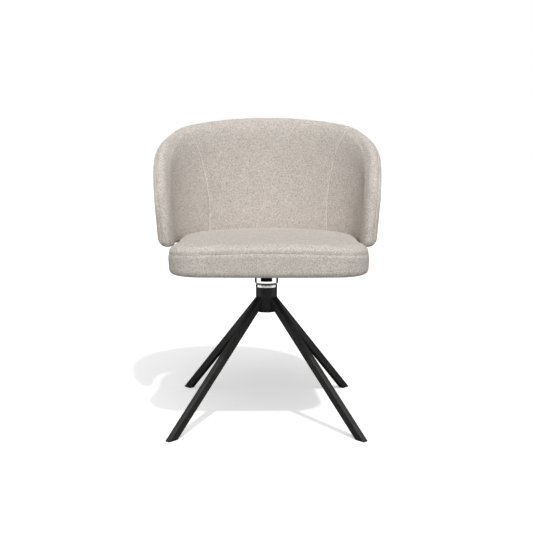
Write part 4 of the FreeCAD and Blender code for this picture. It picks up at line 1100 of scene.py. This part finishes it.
def seen_plainly(tree):
    """One where the camera, a mirror or glass sees a surface, nothing where it only gives light."""
    path = node(tree, "ShaderNodeLightPath")
    seen = math_node(tree, "MAXIMUM", path.outputs["Is Camera Ray"], path.outputs["Is Glossy Ray"])
    return math_node(tree, "MAXIMUM", seen, path.outputs["Is Transmission Ray"])


def studio_floor():
    """White floor that keeps the shadow. The camera and mirrors see it whiter than the chair does."""
    mesh = bpy.data.meshes.new("floor")
    corners = [(FLOOR_REACH * x, FLOOR_REACH * y, 0) for x, y in ((-1, -1), (1, -1), (1, 1), (-1, 1))]
    mesh.from_pydata(corners, [], [(0, 1, 2, 3)])
    floor = new_object("floor", mesh)
    made, tree, shader = new_material("floor_white")
    seen = seen_plainly(tree)
    white = blend_node(tree, seen, grey(FLOOR_TO_CHAIR), grey(FLOOR_TO_CAMERA))
    fed(tree, white, shader.inputs["Base Color"])
    shader.inputs["Roughness"].default_value = 1.0
    shader.inputs["Specular IOR Level"].default_value = 0.0
    shader.inputs["Emission Color"].default_value = grey(1.0)
    fed(tree, math_node(tree, "MULTIPLY", seen, FLOOR_GLOW), shader.inputs["Emission Strength"])
    mesh.materials.append(made)


def studio_world():
    """Soft light from all round, white to the camera and in the chrome."""
    world = bpy.data.worlds.new("studio")
    bpy.context.scene.world = world
    world.use_nodes = True
    tree = world.node_tree
    back = tree.nodes["Background"]
    back.inputs["Color"].default_value = grey(1.0)
    extra = math_node(tree, "MULTIPLY", seen_plainly(tree), 1.0 - ROOM_LIGHT)
    fed(tree, math_node(tree, "ADD", extra, ROOM_LIGHT), back.inputs["Strength"])


def sun(name, towards, strength, spread):
    """Far lamp that shines from a direction."""
    light = bpy.data.lights.new(name, "SUN")
    light.energy = strength
    light.angle = math.radians(spread)
    made = bpy.data.objects.new(name, light)
    bpy.context.scene.collection.objects.link(made)
    made.rotation_euler = Vector(towards).to_track_quat("Z", "Y").to_euler()


def reflection_card(name, first, last, over_floor=False):
    """Curved dark panel from one bearing to another off the front. It may run in over the floor."""
    bearings = [math.radians(bearing) for bearing in np.linspace(first, last, CARD_STEPS + 1)]
    across = len(bearings)
    section = [(CARD_RADIUS, 0.0), (CARD_RADIUS, CARD_HEIGHT)]
    if over_floor:
        section.insert(0, (DISC_RADIUS, OFF_FLOOR))
    spots = [(radius * math.sin(b), -radius * math.cos(b), height)
             for radius, height in section for b in bearings]
    starts = [row * across + step for row in range(len(section) - 1) for step in range(CARD_STEPS)]
    faces = [(spot, spot + 1, spot + across + 1, spot + across) for spot in starts]
    mesh = bpy.data.meshes.new(name)
    mesh.from_pydata(spots, [], faces)
    only_in_mirrors(name, mesh)


def only_in_mirrors(name, mesh):
    """Dark stage piece that lights nothing and shows only in reflections."""
    card = new_object(name, mesh)
    made, _, shader = new_material(name)
    shader.inputs["Base Color"].default_value = grey(0.012)
    shader.inputs["Roughness"].default_value = 1.0
    shader.inputs["Specular IOR Level"].default_value = 0.0
    mesh.materials.append(made)
    for ray in ("camera", "diffuse", "transmission", "shadow", "volume_scatter"):
        setattr(card, "visible_" + ray, False)


def reflection_disc(name):
    """Dark disc on the floor, for the dark line under the chrome."""
    turns = [2 * math.pi * step / DISC_STEPS for step in range(DISC_STEPS)]
    spots = [(DISC_RADIUS * math.cos(turn), DISC_RADIUS * math.sin(turn), OFF_FLOOR) for turn in turns]
    mesh = bpy.data.meshes.new(name)
    mesh.from_pydata(spots, [], [tuple(range(DISC_STEPS))])
    only_in_mirrors(name, mesh)


def studio_lights():
    """Key, fill, and the dark panels for the chrome."""
    sun("key_sun", KEY_TOWARDS, KEY_STRENGTH, KEY_SPREAD)
    sun("front_fill", FILL_TOWARDS, FILL_STRENGTH, FILL_SPREAD)
    near, far = SIDE_CARD
    reflection_card("dark_front", -FRONT_CARD, FRONT_CARD)
    reflection_card("dark_left", near, far, over_floor=True)
    reflection_card("dark_right", -near, -far, over_floor=True)
    reflection_disc("dark_under")


def studio_camera():
    """Camera at the photograph's place."""
    lens = bpy.data.cameras.new("camera")
    lens.sensor_width = SENSOR_WIDTH
    lens.lens = FOCAL_PIXELS / PICTURE_PIXELS * SENSOR_WIDTH
    camera = bpy.data.objects.new("camera", lens)
    bpy.context.scene.collection.objects.link(camera)
    camera.location = CAMERA_PLACE
    camera.rotation_euler = (math.radians(90 - CAMERA_DROP), 0, 0)
    bpy.context.scene.camera = camera


finish_metal_and_wood()
seat_cushion()
back_upholstery()
turned_collar()
dust_cloth()
studio_floor()
studio_world()
studio_lights()
studio_camera()
bpy.context.scene.view_settings.view_transform = "Standard"
